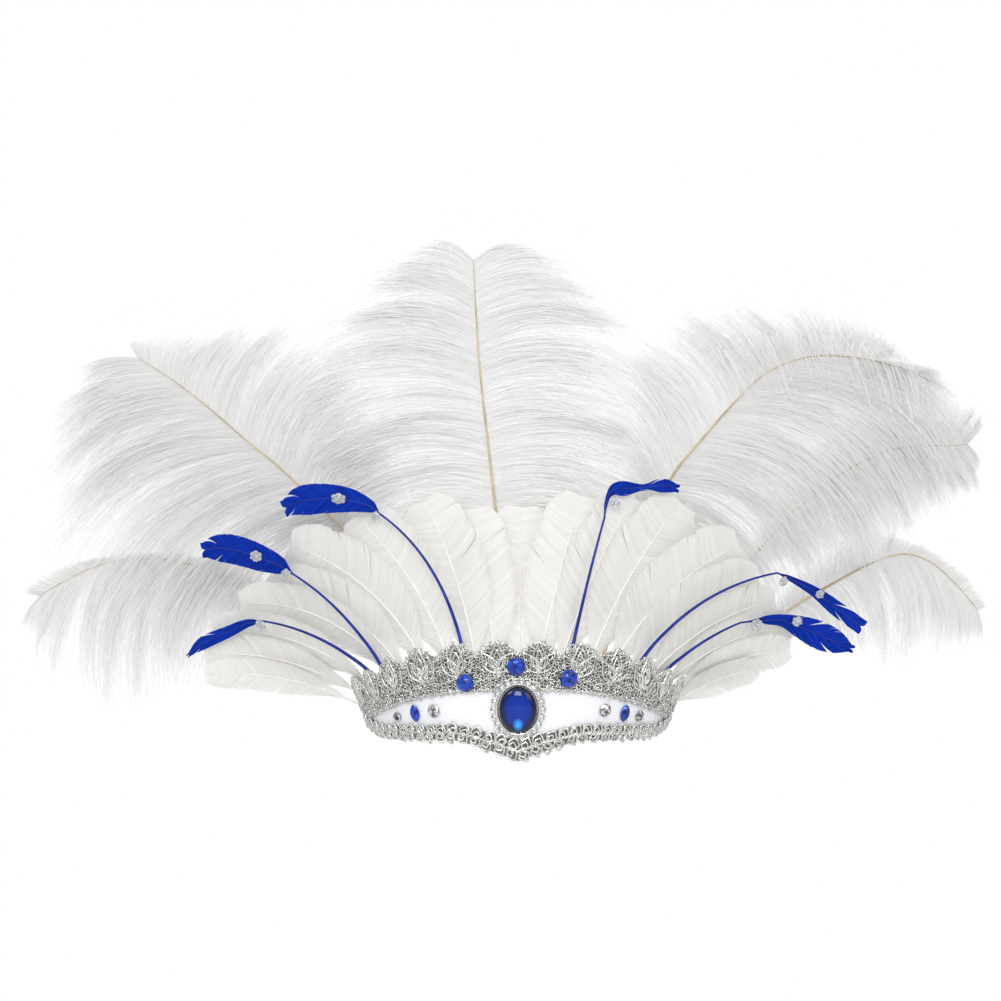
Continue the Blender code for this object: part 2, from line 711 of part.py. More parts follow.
PLUME_FAR_RIGHT_UP = (
    (63.5, 14.0, 0.0, 0.0, 0.0, 0.0),
    (89.0, 48.0, 0.0, 0.0, 0.0, 0.0),
    (118.0, 88.0, 0.0, 0.0, 0.0, 0.0),
    (148.0, 122.0, -8.0, 20.0, 26.0, -16.0),
    (172.0, 142.0, -6.0, 26.0, 32.0, -26.0),
    (192.0, 153.0, -2.0, 32.0, 28.0, -28.0),
    (208.0, 158.5, 6.0, 33.0, 26.0, -24.0),
    (223.0, 160.0, 10.0, 27.0, 22.0, -20.0),
    (236.0, 160.0, 13.0, 22.0, 15.0, -17.0),
    (248.0, 161.0, 7.0, 11.0, 8.0, -8.0),
)
PLUME_FAR_RIGHT_LOW = (
    (72.5, 14.0, 0.0, 0.0, 0.0, 0.0),
    (93.0, 30.0, 0.0, 0.0, 0.0, 0.0),
    (124.0, 52.0, 0.0, 0.0, 0.0, 0.0),
    (152.0, 72.0, -2.0, 16.0, 14.0, -14.0),
    (176.0, 86.0, 2.0, 24.0, 16.0, -30.0),
    (196.0, 96.0, 6.0, 18.0, 12.0, -42.0),
    (213.0, 100.5, 6.0, 8.0, 12.0, -40.0),
    (228.0, 96.0, 7.0, 4.0, 8.0, -34.0),
    (243.0, 83.0, 7.0, 4.0, 4.0, -26.0),
    (255.0, 69.0, 5.0, 3.0, 2.0, -12.0),
)
# name, table, slot behind the goose feathers, how far the tip curls back
PLUMES = (
    ("plume_right", PLUME_RIGHT, 9.0, -8.0),
    ("plume_center", PLUME_CENTER, 17.0, 4.0),
    ("plume_left", PLUME_LEFT, 25.0, 12.0),
    ("plume_far_right_up", PLUME_FAR_RIGHT_UP, 25.0, 12.0),
    ("plume_far_left_low", PLUME_FAR_LEFT, 33.0, 14.0),
    ("plume_far_right_low", PLUME_FAR_RIGHT_LOW, 33.0, 14.0),
)
PLUME_STATIONS = 20
PLUME_BARE = 0.25
QUILL_WIDE = 1.3
QUILL_THICK = 2.4
BARB_THICK = 2.0
NOTCH = 0.87
BARB_RISE = 0.10
BARB_DROOP = 4.0
BARB_DROOP_AT = 90.0


def plume(name, table, slot, curl, mat):
    """Ostrich plume: quill and barbs in locks, one solid."""
    shares = [PLUME_BARE * i / 3 for i in range(3)]
    shares += spread(PLUME_BARE, 1.0, PLUME_STATIONS - 3)
    rows = []
    for share in shares:
        x, z, *reaches = spline(table, share)
        grow = mix(1.0, PLUME_GROW, smooth(share / PLUME_BARE))
        rows.append((*as_seen(x, z, grow), *[reach * PLUME_GROW for reach in reaches]))
    ways = directions([row[:2] for row in rows])
    loops = []
    for i, (share, row, way) in enumerate(zip(shares, rows, ways)):
        here = Vector(row[:2])
        wide = mix(QUILL_WIDE, 0.7, share)
        thick = mix(QUILL_THICK, 1.2, share) / 2
        lock = 1.0 if i % 2 else NOTCH
        hold = slot * smooth((share - 0.06) / 0.25) + curl * clamp((share - 0.45) / 0.55) ** 2
        across = Vector((way.y, -way.x))
        sides = []
        for sign, reach in ((-1, Vector(row[2:4])), (1, Vector(row[4:6]))):
            edge = here + across * wide * sign
            tip = here + reach * lock
            if (tip - edge).dot(across) * sign < 1.8:
                tip = edge + across * 1.8 * sign
            rise = way * (tip - edge).length * BARB_RISE
            sides.append((edge, edge.lerp(tip, 0.5) + rise, tip))
        left, right = sides
        body = BARB_THICK / 2 * clamp((share - 0.2) * 10, 0.35, 1.0)
        loop = []
        for place, depth in ((left[2], 0.0), (left[1], -body), (left[0], -body * 0.9),
                             (here, -thick), (right[0], -body * 0.9),
                             (right[1], -body), (right[2], 0.0), (right[1], body),
                             (right[0], thick), (left[0], thick), (left[1], body)):
            droop = BARB_DROOP * ((place - here).length / BARB_DROOP_AT) ** 2
            y = fan_depth(place.x, place.y, PLUME_LAYER) + hold + droop + depth
            loop.append(Vector((place.x, y, place.y)))
        loops.append(loop)
    loft(name, loops, mat, back=6)


def main():
    white = material("white fabric", (0.86, 0.87, 0.90), 0.8)
    silver = material("silver bullion", (0.70, 0.71, 0.70), 0.35, 0.9)
    blue_glass = material("blue glass", (0.02, 0.06, 0.45), 0.08)
    clear_glass = material("clear glass", (0.85, 0.87, 0.9), 0.05)
    goose_white = material("goose white", (0.88, 0.88, 0.85), 0.7)
    ostrich_white = material("ostrich white", (0.90, 0.90, 0.90), 0.75)
    blue_vane = material("blue vane", (0.02, 0.05, 0.55), 0.6)
    elastic = material("white elastic", (0.85, 0.85, 0.85), 0.8)
    felt = material("white felt", (0.85, 0.85, 0.84), 0.95)
    build_band(white)
    build_lace(silver)
    build_braid(silver)
    build_setting(silver)
    build_stones(blue_glass, clear_glass)
    build_strap(elastic)
    build_backing(felt)
    build_goose(goose_white)
    for row in BLUE_QUILLS:
        blue_quill(row, blue_vane)
    build_crystals(clear_glass)
    for name, table, slot, curl in PLUMES:
        plume(name, table, slot, curl, ostrich_white)


for leftover in list(bpy.data.objects):
    bpy.data.objects.remove(leftover, do_unlink=True)
main()
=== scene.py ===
# Looks of the showgirl feather headdress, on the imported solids. Sizes are in millimetres and
# degrees, as in the part's source, and turn into metres where a piece is made.
import random
from math import asin, atan2, cos, degrees, exp, hypot, pi, radians, sin, sqrt

import bpy
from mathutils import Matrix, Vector


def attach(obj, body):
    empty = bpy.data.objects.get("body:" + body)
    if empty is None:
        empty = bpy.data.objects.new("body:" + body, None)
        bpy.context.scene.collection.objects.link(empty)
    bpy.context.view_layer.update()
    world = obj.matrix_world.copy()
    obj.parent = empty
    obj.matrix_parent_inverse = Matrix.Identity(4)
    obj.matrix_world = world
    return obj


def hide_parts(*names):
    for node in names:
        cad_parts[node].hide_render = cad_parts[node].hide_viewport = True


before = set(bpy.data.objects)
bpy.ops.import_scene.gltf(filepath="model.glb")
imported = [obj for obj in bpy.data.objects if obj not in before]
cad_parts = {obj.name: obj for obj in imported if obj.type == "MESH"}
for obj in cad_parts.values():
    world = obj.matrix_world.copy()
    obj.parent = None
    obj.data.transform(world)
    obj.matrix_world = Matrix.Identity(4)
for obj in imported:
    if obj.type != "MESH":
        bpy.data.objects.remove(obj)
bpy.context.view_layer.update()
chance = random.Random(7)
MM = 0.001
# Random starts and turns are drawn up to this angle, once round
FULL_TURN = 6.28


# Form of the part, as in its source

# Band: an oval that leans outward with height
BAND_HALF_WIDTH = 82
BAND_HALF_DEPTH = 95
SIDE_FLARE = 0.40
FRONT_FLARE = 0.20
FLARE_TOP = 45
BAND_END = 78
BAND_WALL = 2.4
GAP = 0.3
LOW_Z = -1.6
V_DROP = 10.8
V_HALF = 34
END_RISE = 6
END_START = 58
BRAID_TALL = 8
BRAID_CENTER_EXTRA = 4.4
BRAID_SPREAD = 45
BRAID_OVERHANG = 1.5
LACE_THICK = 1.9
LACE_LOW_Z = 27
LACE_LOW_DROP = 16
LACE_PEAK_Z = 54.5
LACE_PEAK_DROP = 22
LACE_HALF_SPAN = 90
SCALLOPS = 12
SCALLOP_DEPTH = 7.5
BAND_BELOW_PEAK = 11.5
# Stones and their setting
SETTING_Z = 17
SETTING_OUTER = (13.8, 15.4)
SETTING_INNER = (10.6, 13.3)
SETTING_LOBES = 22
GEM_HALF = (10.2, 12.9)
STONE_SEAT = 0.4
CRYSTAL_LEVELS = ((0.85, 0), (1, 0.35), (0.55, 1))
# Layers behind the band, measured inward from its outer face
GOOSE_LAYER = 3.7
PLUME_LAYER = 6.6
BACKING_LAYER = 8.7
BACKING_WALL = 2
BACKING_LOW = 9.5
BACKING_HIGH = 24
BACKING_END = 66
STRAP_LAYER = 2.8
STRAP_WALL = 1.2
STRAP_START = 71
STRAP_LOW = -0.5
STRAP_HIGH = 6.6
# Fan of feathers
ROOT_Z = 12
ROOT_FALL = 0.2
ROOT_FALL_START = 50
FAN_SPREAD = 0.95
FAN_LEAN = 0.10
FAN_TURN = 1.5
FAN_DEPTH = 0.93
FAN_BLEND = 24
# Parts further back than the band's front look smaller in the photo by these shares
VIEW_MID_Z = 130
GOOSE_GROW = 1.02
BLUE_GROW = 1.02
PLUME_GROW = 1.035
END_SHARE = 0.978
END_SETTLE = 0.03
SHINGLE = 0.18


def clamp(value, low=0, high=1):
    return max(low, min(high, value))


def smooth(value):
    value = clamp(value)
    return value * value * (3 - 2 * value)


def mix(a, b, share):
    return a + (b - a) * share


def spline(rows, share):
    """Row of values at a share of the way along a table, by Catmull-Rom between its rows."""
    last = len(rows) - 1
    place = clamp(share) * last
    i = min(int(place), last - 1)
    f = place - i
    four = [rows[clamp(i + k, 0, last)] for k in (-1, 0, 1, 2)]
    out = []
    for a, b, c, d in zip(*four):
        out.append(0.5 * (2 * b + (c - a) * f + (2 * a - 5 * b + 4 * c - d) * f ** 2
                          + (3 * b - a - 3 * c + d) * f ** 3))
    return out


def half_width(z):
    return BAND_HALF_WIDTH + SIDE_FLARE * z


def half_depth(z):
    return BAND_HALF_DEPTH + FRONT_FLARE * min(z, FLARE_TOP)


def wall(turn, z, out):
    """Point of the band at a turn from the front, a height, and out from its outer face."""
    t = radians(turn)
    return Vector(((half_width(z) + out) * sin(t), -(half_depth(z) + out) * cos(t), z))


def turn_at(x, z):
    return degrees(asin(clamp(x / half_width(z), -0.999, 0.999)))


def lower_edge(turn):
    """Height of the braid's lower edge, with the V at the front."""
    x = abs(BAND_HALF_WIDTH * sin(radians(turn)))
    drop = V_DROP * clamp(1 - x / V_HALF) ** 1.2
    rise = END_RISE * clamp((abs(turn) - END_START) / (BAND_END - END_START)) ** 2
    return LOW_Z - drop + rise


def braid_top(turn):
    x = abs(BAND_HALF_WIDTH * sin(radians(turn)))
    return lower_edge(turn) + BRAID_TALL + BRAID_CENTER_EXTRA * exp(-(x / BRAID_SPREAD) ** 2)


def lace_low(turn):
    """Height of the lace's lower edge: it arches over the setting and meets the braid."""
    x = abs(half_width(20) * sin(radians(turn)))
    z = LACE_LOW_Z - LACE_LOW_DROP * (x / 82) ** 2.6
    reach = (SETTING_OUTER[0] + 1.4, SETTING_OUTER[1] + 0.9)
    if x < reach[0]:
        z = max(z, SETTING_Z + reach[1] * sqrt(1 - (x / reach[0]) ** 2))
    return max(z, braid_top(turn) + 0.8)


def lace_peak(x):
    return LACE_PEAK_Z - LACE_PEAK_DROP * clamp(abs(x) / LACE_HALF_SPAN) ** 3


def band_top(x):
    return lace_peak(x) - BAND_BELOW_PEAK


def spread(low, high, count):
    return [mix(low, high, i / count) for i in range(count + 1)]


def angles(count, shift=0):
    """Angles once round, in even steps."""
    return [2 * pi * (i + shift) / count for i in range(count)]


def jitter(reach):
    """Random number within a reach of 0, to either side."""
    return chance.uniform(-reach, reach)


def lace_height(turn, row):
    """Height of the lace's row, from 0 at its lower edge to 1 at its scalloped edge."""
    wave = abs(cos(pi * SCALLOPS * (turn + BAND_END) / (2 * BAND_END) + pi / 2))
    low = lace_low(turn)
    peak = lace_peak(half_width(40) * sin(radians(turn)))
    top = peak - SCALLOP_DEPTH * (1 - wave)
    return mix(low, top, row)


def axes(right, up, outward):
    """Square axes on a surface from two directions along it: right, up and away."""
    away = up.cross(right).normalized()
    if away.dot(outward) < 0:
        away.negate()
    up = away.cross(right).normalized()
    if up.z < 0:
        up.negate()
    return right, up, away


def seat(turn, z, out):
    """Place and axes of a stone on the band: origin, right, up and away."""
    origin = wall(turn, z, out)
    right = (wall(turn + 0.5, z, out) - wall(turn - 0.5, z, out)).normalized()
    up = (wall(turn, z + 0.5, out) - wall(turn, z - 0.5, out)).normalized()
    return origin, *axes(right, up, Vector((origin.x, origin.y, 0)))


def behind_band(x, z, layer):
    """Depth y of the band's inner side at a layer; past the band's ends it levels off."""
    q = abs(x) / (half_width(z) - layer)
    past = 0
    if q <= END_SHARE:
        g = 1 - sqrt(1 - q * q)
    else:
        root = sqrt(1 - END_SHARE ** 2)
        past = 1 - exp(-(q - END_SHARE) / END_SETTLE)
        g = 1 - root + END_SHARE / root * END_SETTLE * past
    return -(half_depth(z) - layer) * (1 - g) + (layer - GOOSE_LAYER) * past


def fan_depth(x, z, layer):
    """Depth y of the surface on which the feathers lie, for a place seen from the front."""
    top = band_top(x)
    above = max(0, z - top)
    low = min(z, top)
    spread_at = half_width(low) - layer + FAN_SPREAD * above
    q = min(abs(x) / spread_at, FAN_TURN)
    g = FAN_DEPTH * (1 - cos(pi * q / FAN_TURN)) / 2
    fan = -(half_depth(FLARE_TOP) - layer) * (1 - g) + (layer - GOOSE_LAYER) * g
    base = behind_band(x, z, layer)
    share = smooth((above - 1.5) / FAN_BLEND)
    return mix(base, fan, share) + FAN_LEAN * max(0, z - FLARE_TOP)


def steepness(x, z, layer):
    step = 2
    dx = (fan_depth(x + step, z, layer) - fan_depth(x - step, z, layer)) / (2 * step)
    dz = (fan_depth(x, z + step, layer) - fan_depth(x, z - step, layer)) / (2 * step)
    return sqrt(1 + dx * dx + dz * dz)


def on_fan(x, z, layer, back):
    """Point behind the fan's surface by a distance, as seen from the front at x and z."""
    return Vector((x, fan_depth(x, z, layer) + steepness(x, z, layer) * back, z))


def as_seen(x, z, share):
    """A place read from the photo, moved out by the share that its distance takes off."""
    return x * share, VIEW_MID_Z + (z - VIEW_MID_Z) * share


def arc_path(start, end, bend, power, shares):
    """Places from start to end whose direction turns outward by bend degrees."""
    side = 1 if end[0] >= start[0] else -1
    steps = 240
    x = z = 0
    raw = [(0, 0)]
    for i in range(steps):
        a = radians(bend) * ((i + 0.5) / steps) ** power
        x += sin(a) / steps
        z += cos(a) / steps
        raw.append((x, z))
    chord = Vector((side * (end[0] - start[0]), end[1] - start[1]))
    turn = atan2(chord.x, chord.y) - atan2(x, z)
    scale = chord.length / hypot(x, z)
    places = []
    for share in shares:
        px, pz = raw[int(round(share * steps))]
        rx = px * cos(turn) + pz * sin(turn)
        rz = -px * sin(turn) + pz * cos(turn)
        places.append((start[0] + side * rx * scale, start[1] + rz * scale))
    return places


def directions(places):
    """Unit direction along a path at each of its places."""
    out = []
    for i in range(len(places)):
        a = Vector(places[max(0, i - 1)])
        b = Vector(places[min(len(places) - 1, i + 1)])
        out.append((b - a).normalized())
    return out


# Goose feathers from the centre outward: root turn, tip x, tip z, bend, half width, slot
GOOSE_LEFT = (
    (5.5, 24, 126, 2, 17, 0),
    (13.5, 50, 130, 22, 19, 0),
    (21, 88, 122, 38, 19, 0),
    (28.5, 124, 106, 56, 19, 0),
    (36, 132, 84, 56, 17, 0),
    (41.4, 152, 73, 70, 14, -0.3),
    (51.5, 167, 58, 53.4, 12.4, -0.9),
    (60, 172, 45, 44, 11.5, -1.7),
    (67, 171.8, 34, 35.7, 9.4, -2.6),
)
GOOSE_RIGHT = (
    (3.6, 34, 133, 6, 19, -2.6),
    (10, 62, 132, 16, 18, -2.1),
    (20.5, 88, 129, 24, 19, -1.6),
    (27.5, 120, 106, 44, 20, -1.1),
    (34.5, 131, 88, 50, 17, -0.9),
    (43.5, 141, 75, 48, 14, -1.1),
    (53, 151, 61, 48, 12.5, -1.8),
    (60.5, 150, 48, 40, 11, -2.8),
    (67, 132, 38, 26, 9, -4),
)
# Share along a goose feather and its width there as a share of the full width
GOOSE_FORM = (
    (0, 0.08),
    (0.09, 0.08),
    (0.17, 0.08),
    (0.25, 0.12),
    (0.32, 0.30),
    (0.41, 0.62),
    (0.53, 0.92),
    (0.68, 1),
    (0.82, 0.96),
    (0.93, 0.72),
    (1, 0.28),
)
CENTER_SLOT = 2.6
# Blue quills: name, root turn and z, stem end x and z, bend, power of the bend, then the
# vane's rows: x, z, half width. The stem is bare up to its end.
BLUE_QUILLS = (
    ("blue_quill_left_1", -17.3, 12, -73.4, 122.6, 50, 1.6, (
        (-80, 127.2, 3.8), (-91, 130.2, 6.6), (-104, 131, 8), (-116, 129.8, 8),
        (-124.5, 126, 4.6))),
    ("blue_quill_left_2", -48, 12, -120.4, 89.6, 36, 1.2, (
        (-128.5, 94.6, 4.8), (-138, 98.2, 7), (-147, 101.4, 7.8), (-156, 103.6, 8),
        (-164, 104, 7.2), (-170.5, 103, 4.2))),
    ("blue_quill_left_3", -52.3, 22, -139.3, 64.3, 44, 1, (
        (-148.5, 62.6, 2.4), (-157.7, 58.4, 3.2), (-172, 52, 3.6), (-180, 45.5, 1))),
    ("blue_quill_right_1", 15.5, 12, 46, 121, 6, 1, (
        (46.6, 127, 0.9), (48.2, 132.6, 1.4), (51.6, 136, 3.2), (57, 136.4, 4),
        (67, 137, 1.7), (77, 138, 3.8), (84.5, 136.6, 2.2))),
    ("blue_quill_right_2", 38.8, 12, 141, 90.7, 62, 1, (
        (150.7, 86.4, 1.7), (162.5, 80, 2.9), (174, 71.4, 4.2), (188, 61.2, 4.2))),
    ("blue_quill_right_3", 51.3, 19, 121, 63.7, 34, 1, (
        (130, 64.6, 1.2), (136.5, 65, 2.6), (145, 64.4, 3.6), (155, 60.8, 6.2),
        (165.8, 56, 7.8), (175.5, 52, 6.2), (182.5, 49, 2.2))),
)
BEHIND_LACE = 2.8
STEM_LEAD = 5.6


def blue_lead(x, z):
    """How far a blue quill stands in front of the goose feathers."""
    above = z - band_top(x) - 1.5
    return BEHIND_LACE * smooth(above / 8) + STEM_LEAD * smooth((above - 12.5) / 20)


# Crystals: name, x, z, half width, half height
CRYSTALS = (
    ("crystal_left_1_stem", -76, 121.6, 2.9, 2.9),
    ("crystal_left_1_vane", -96, 131, 5, 3.4),
    ("crystal_left_2_stem", -124.8, 90.4, 3.6, 3.4),
    ("crystal_left_2_vane", -141.5, 100, 4, 3.6),
    ("crystal_left_3_stem", -140, 62.4, 3.4, 3.4),
    ("crystal_right_1_stem", 51.6, 129, 3.4, 3.4),
    ("crystal_right_2_stem", 144.4, 86, 3.2, 3.2),
    ("crystal_right_2_vane", 165, 79, 3, 2.7),
    ("crystal_right_3_stem", 129.6, 62.8, 3.8, 3.8),
    ("crystal_right_3_vane", 152.8, 64.2, 3.6, 3.2),
)
CRYSTAL_TALL = 2.6
CRYSTAL_SEAT = 0.9
# Reach of the barbs where a plume's quill is bare
BARE = (0, 0, 0, 0)
# Ostrich plumes: a row for each section of the quill: quill x and z, then how far the barbs
# reach from it on its left and its right, each as x and z
PLUME_CENTER = (
    (-3, 14, *BARE),
    (-6, 50, *BARE),
    (-9, 88, *BARE),
    (-11, 118, -56, -4, 58, -4),
    (-14.5, 150, -84, -6, 86, -2),
    (-18, 180, -87, 2, 88, 1),
    (-20.5, 205, -82, 11, 80, 8),
    (-22, 228, -64, 15, 64, 10),
    (-23, 246, -42, 14, 48, 11),
    (-23.5, 258, -15, 11, 22, 11),
)
PLUME_LEFT = (
    (-36, 14, *BARE),
    (-52, 50, *BARE),
    (-73.2, 86, *BARE),
    (-90.2, 111, -54, -66, 26, 30.2),
    (-107, 128, -88, -76, 34, 46),
    (-127, 147, -106, -60, 40, 60),
    (-148, 164, -100, -40, 34, 58),
    (-168, 181, -90, -26, 24, 44),
    (-188, 196, -62, -16, 10, 27),
    (-207, 208, -30, -2, -6, 10),
)
PLUME_RIGHT = (
    (39, 14, *BARE),
    (47, 50, *BARE),
    (60, 92, *BARE),
    (72, 124, -16, 26, 62, -34),
    (84, 146, -28, 50, 80, -50),
    (100, 165, -40, 50, 92, -58),
    (117, 184, -36, 41, 106, -50),
    (134, 199, -28, 34, 104, -36),
    (157, 207, -16, 28, 76, -18),
    (180, 207, 0, 23, 42, -4),
    (198, 204, 6, 10, 18, -3),
)
PLUME_FAR_LEFT = (
    (-70, 14, *BARE),
    (-88, 32, *BARE),
    (-112, 58, *BARE),
    (-140, 80, 2, -26, 0, 8),
    (-165, 91, -14, -46, -6, 10),
    (-188, 96.5, -20, -62, -8, 6),
    (-208, 98, -20, -62, -12, 3),
    (-228, 95, -20, -48, -8, 3.5),
    (-247, 87, -17, -30, -9, 6),
    (-264, 77, -10, -12, -9, 4),
)
PLUME_FAR_RIGHT_UP = (
    (63.5, 14, *BARE),
    (89, 48, *BARE),
    (118, 88, *BARE),
    (148, 122, -8, 20, 26, -16),
    (172, 142, -6, 26, 32, -26),
    (192, 153, -2, 32, 28, -28),
    (208, 158.5, 6, 33, 26, -24),
    (223, 160, 10, 27, 22, -20),
    (236, 160, 13, 22, 15, -17),
    (248, 161, 7, 11, 8, -8),
)
PLUME_FAR_RIGHT_LOW = (
    (72.5, 14, *BARE),
    (93, 30, *BARE),
    (124, 52, *BARE),
    (152, 72, -2, 16, 14, -14),
    (176, 86, 2, 24, 16, -30),
    (196, 96, 6, 18, 12, -42),
    (213, 100.5, 6, 8, 12, -40),
    (228, 96, 7, 4, 8, -34),
    (243, 83, 7, 4, 4, -26),
    (255, 69, 5, 3, 2, -12),
)
# name, table, slot behind the goose feathers, how far the tip curls back
PLUMES = (
    ("plume_right", PLUME_RIGHT, 9, -8),
    ("plume_center", PLUME_CENTER, 17, 4),
    ("plume_left", PLUME_LEFT, 25, 12),
    ("plume_far_right_up", PLUME_FAR_RIGHT_UP, 25, 12),
    ("plume_far_left_low", PLUME_FAR_LEFT, 33, 14),
    ("plume_far_right_low", PLUME_FAR_RIGHT_LOW, 33, 14),
)
PLUME_BARE = 0.25
BARB_DROOP = 4
BARB_DROOP_AT = 90


# Pieces and materials


class Shape:
    """Points and faces of one piece in millimetres, and which material each face takes."""

    def __init__(self):
        self.points = []
        self.faces = []
        self.shades = []

    def shade(self, number):
        """Give this material to the faces made since the last call."""
        self.shades += [number] * (len(self.faces) - len(self.shades))


def new_object(name, data):
    obj = bpy.data.objects.new(name, data)
    bpy.context.collection.objects.link(obj)
    return obj


def new_piece(name, shape, mats, node, flat=False):
    """One mesh piece that rides on the headdress and stands for a node of the solids."""
    mesh = bpy.data.meshes.new(name)
    mesh.from_pydata([(p[0] * MM, p[1] * MM, p[2] * MM) for p in shape.points], [], shape.faces)
    for mat in mats:
        mesh.materials.append(mat)
    if shape.shades:
        mesh.polygons.foreach_set("material_index", shape.shades)
    mesh.polygons.foreach_set("use_smooth", [not flat] * len(mesh.polygons))
    mesh.update()
    obj = new_object(name, mesh)
    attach(obj, "root")
    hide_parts(node)


def add_node(owner, kind, **values):
    """Node of a material or world; values are its inputs or its settings."""
    node = owner.node_tree.nodes.new(kind)
    for key, value in values.items():
        if key in node.inputs:
            node.inputs[key].default_value = value
        else:
            setattr(node, key, value)
    return node


def link(owner, start, out, end, into):
    owner.node_tree.links.new(start.outputs[out], end.inputs[into])


def add_ramp(owner, stops):
    """Colour ramp through stops of position and colour."""
    ramp = add_node(owner, "ShaderNodeValToRGB")
    elements = ramp.color_ramp.elements
    while len(elements) < len(stops):
        elements.new(0.5)
    for element, (where, color) in zip(elements, stops):
        element.position = where
        element.color = (*color, 1)
    return ramp


def plain_material(name, roughness, **values):
    """Principled material; values are its other inputs, with _ for each space."""
    mat = bpy.data.materials.new(name)
    mat.use_nodes = True
    shader = mat.node_tree.nodes["Principled BSDF"]
    shader.inputs["Roughness"].default_value = roughness
    for key, value in values.items():
        shader.inputs[key.replace("_", " ").title().replace("Ior", "IOR")].default_value = value
    return mat


def material(name, roughness, dark, light, scale, source="noise", **values):
    """Material whose colour varies between two by noise, strand by strand, or by cells that paint
    glints and shade on cut stones.
    """
    mat = plain_material(name, roughness, **values)
    mat.node_tree.nodes["Principled BSDF"].inputs["Base Color"].default_value = (*light, 1)
    edge = 0.3 if source == "noise" else 0
    ramp = add_ramp(mat, ((edge, dark), (1 - edge, light)))
    if source == "strand":
        node = add_node(mat, "ShaderNodeNewGeometry")
        link(mat, node, "Random Per Island", ramp, "Fac")
    else:
        place = add_node(mat, "ShaderNodeTexCoord")
        # Cells of painted glints and painted shade on cut stones
        if source == "facets":
            node = add_node(mat, "ShaderNodeTexVoronoi", Scale=scale)
            parts = add_node(mat, "ShaderNodeSeparateColor")
            link(mat, node, "Color", parts, "Color")
            link(mat, parts, "Red", ramp, "Fac")
        else:
            node = add_node(mat, "ShaderNodeTexNoise", Scale=scale, Detail=4)
            link(mat, node, "Fac", ramp, "Fac")
        link(mat, place, "Object", node, "Vector")
    link(mat, ramp, "Color", mat.node_tree.nodes["Principled BSDF"], "Base Color")
    return mat


def roughen(mat, scale, strength, distance, kind="noise"):
    """Bump from fine noise, or from the crossing threads of a weave."""
    place = add_node(mat, "ShaderNodeTexCoord")
    bump = add_node(mat, "ShaderNodeBump", Strength=strength, Distance=distance)
    if kind == "weave":
        both = add_node(mat, "ShaderNodeMath", operation="MAXIMUM")
        for i, axis in enumerate("XZ"):
            threads = add_node(mat, "ShaderNodeTexWave", Scale=scale, bands_direction=axis)
            link(mat, place, "Object", threads, "Vector")
            link(mat, threads, "Fac", both, i)
        link(mat, both, "Value", bump, "Height")
    else:
        noise = add_node(mat, "ShaderNodeTexNoise", Scale=scale, Detail=5)
        link(mat, place, "Object", noise, "Vector")
        link(mat, noise, "Fac", bump, "Height")
    link(mat, bump, "Normal", mat.node_tree.nodes["Principled BSDF"], "Normal")


def let_light_through(mat, color, share):
    """Light comes through thin strands from behind."""
    nodes = mat.node_tree.nodes
    through = add_node(mat, "ShaderNodeBsdfTranslucent", Color=(*color, 1))
    blend = add_node(mat, "ShaderNodeMixShader", Fac=share)
    link(mat, nodes["Principled BSDF"], "BSDF", blend, 1)
    link(mat, through, "BSDF", blend, 2)
    link(mat, blend, "Shader", nodes["Material Output"], "Surface")


def strip(shape, pairs):
    """Flat strip through pairs of points."""
    first = len(shape.points)
    for pair in pairs:
        shape.points.extend(pair)
    for a in range(first, len(shape.points) - 2, 2):
        shape.faces.append((a, a + 1, a + 3, a + 2))


def bead(shape, where, size, rings=5, sides=8):
    """Small half-round bead on a surface."""
    origin, right, up, away = where
    first = len(shape.points)
    for i in range(rings):
        a = 0.5 * pi * i / rings
        for b in angles(sides):
            flat = right * (cos(b) * size[0]) + up * (sin(b) * size[1])
            shape.points.append(origin + flat * cos(a) + away * (sin(a) * size[2]))
    shape.points.append(origin + away * size[2])
    for i in range(rings - 1):
        for k in range(sides):
            a = first + i * sides
            m = (k + 1) % sides
            shape.faces.append((a + k, a + m, a + sides + m, a + sides + k))
    a = first + (rings - 1) * sides
    for k in range(sides):
        shape.faces.append((a + k, a + (k + 1) % sides, len(shape.points) - 1))


def skin(shape, loops, closed=False):
    """Closed surface through loops of points, with its ends filled unless it runs round."""
    first = len(shape.points)
    count = len(loops[0])
    for loop in loops:
        shape.points.extend(loop)
    for i in range(len(loops) if closed else len(loops) - 1):
        a = first + i * count
        b = first + ((i + 1) % len(loops)) * count
        for k in range(count):
            m = (k + 1) % count
            shape.faces.append((a + k, a + m, b + m, b + k))
    if not closed:
        last = first + (len(loops) - 1) * count
        shape.faces.append(tuple(first + k for k in reversed(range(count))))
        shape.faces.append(tuple(last + k for k in range(count)))


# Cords take their sides from this direction, which none of them follows
CORD_FACES = Vector((0.05, -1, 0.08))


def tube(shape, line, radii, sides=6, closed=False):
    """Round cord along a line."""
    count = len(line)
    loops = []
    for i, (place, radius) in enumerate(zip(line, radii)):
        if closed:
            ahead = line[(i + 1) % count] - line[i - 1]
        else:
            ahead = line[min(i + 1, count - 1)] - line[max(i - 1, 0)]
        side = ahead.cross(CORD_FACES).normalized()
        up = side.cross(ahead.normalized())
        loops.append([place + (side * cos(a) + up * sin(a)) * radius
                      for a in angles(sides)])
    skin(shape, loops, closed)


# Ostrich plumes: each barb is a fine strand from the quill

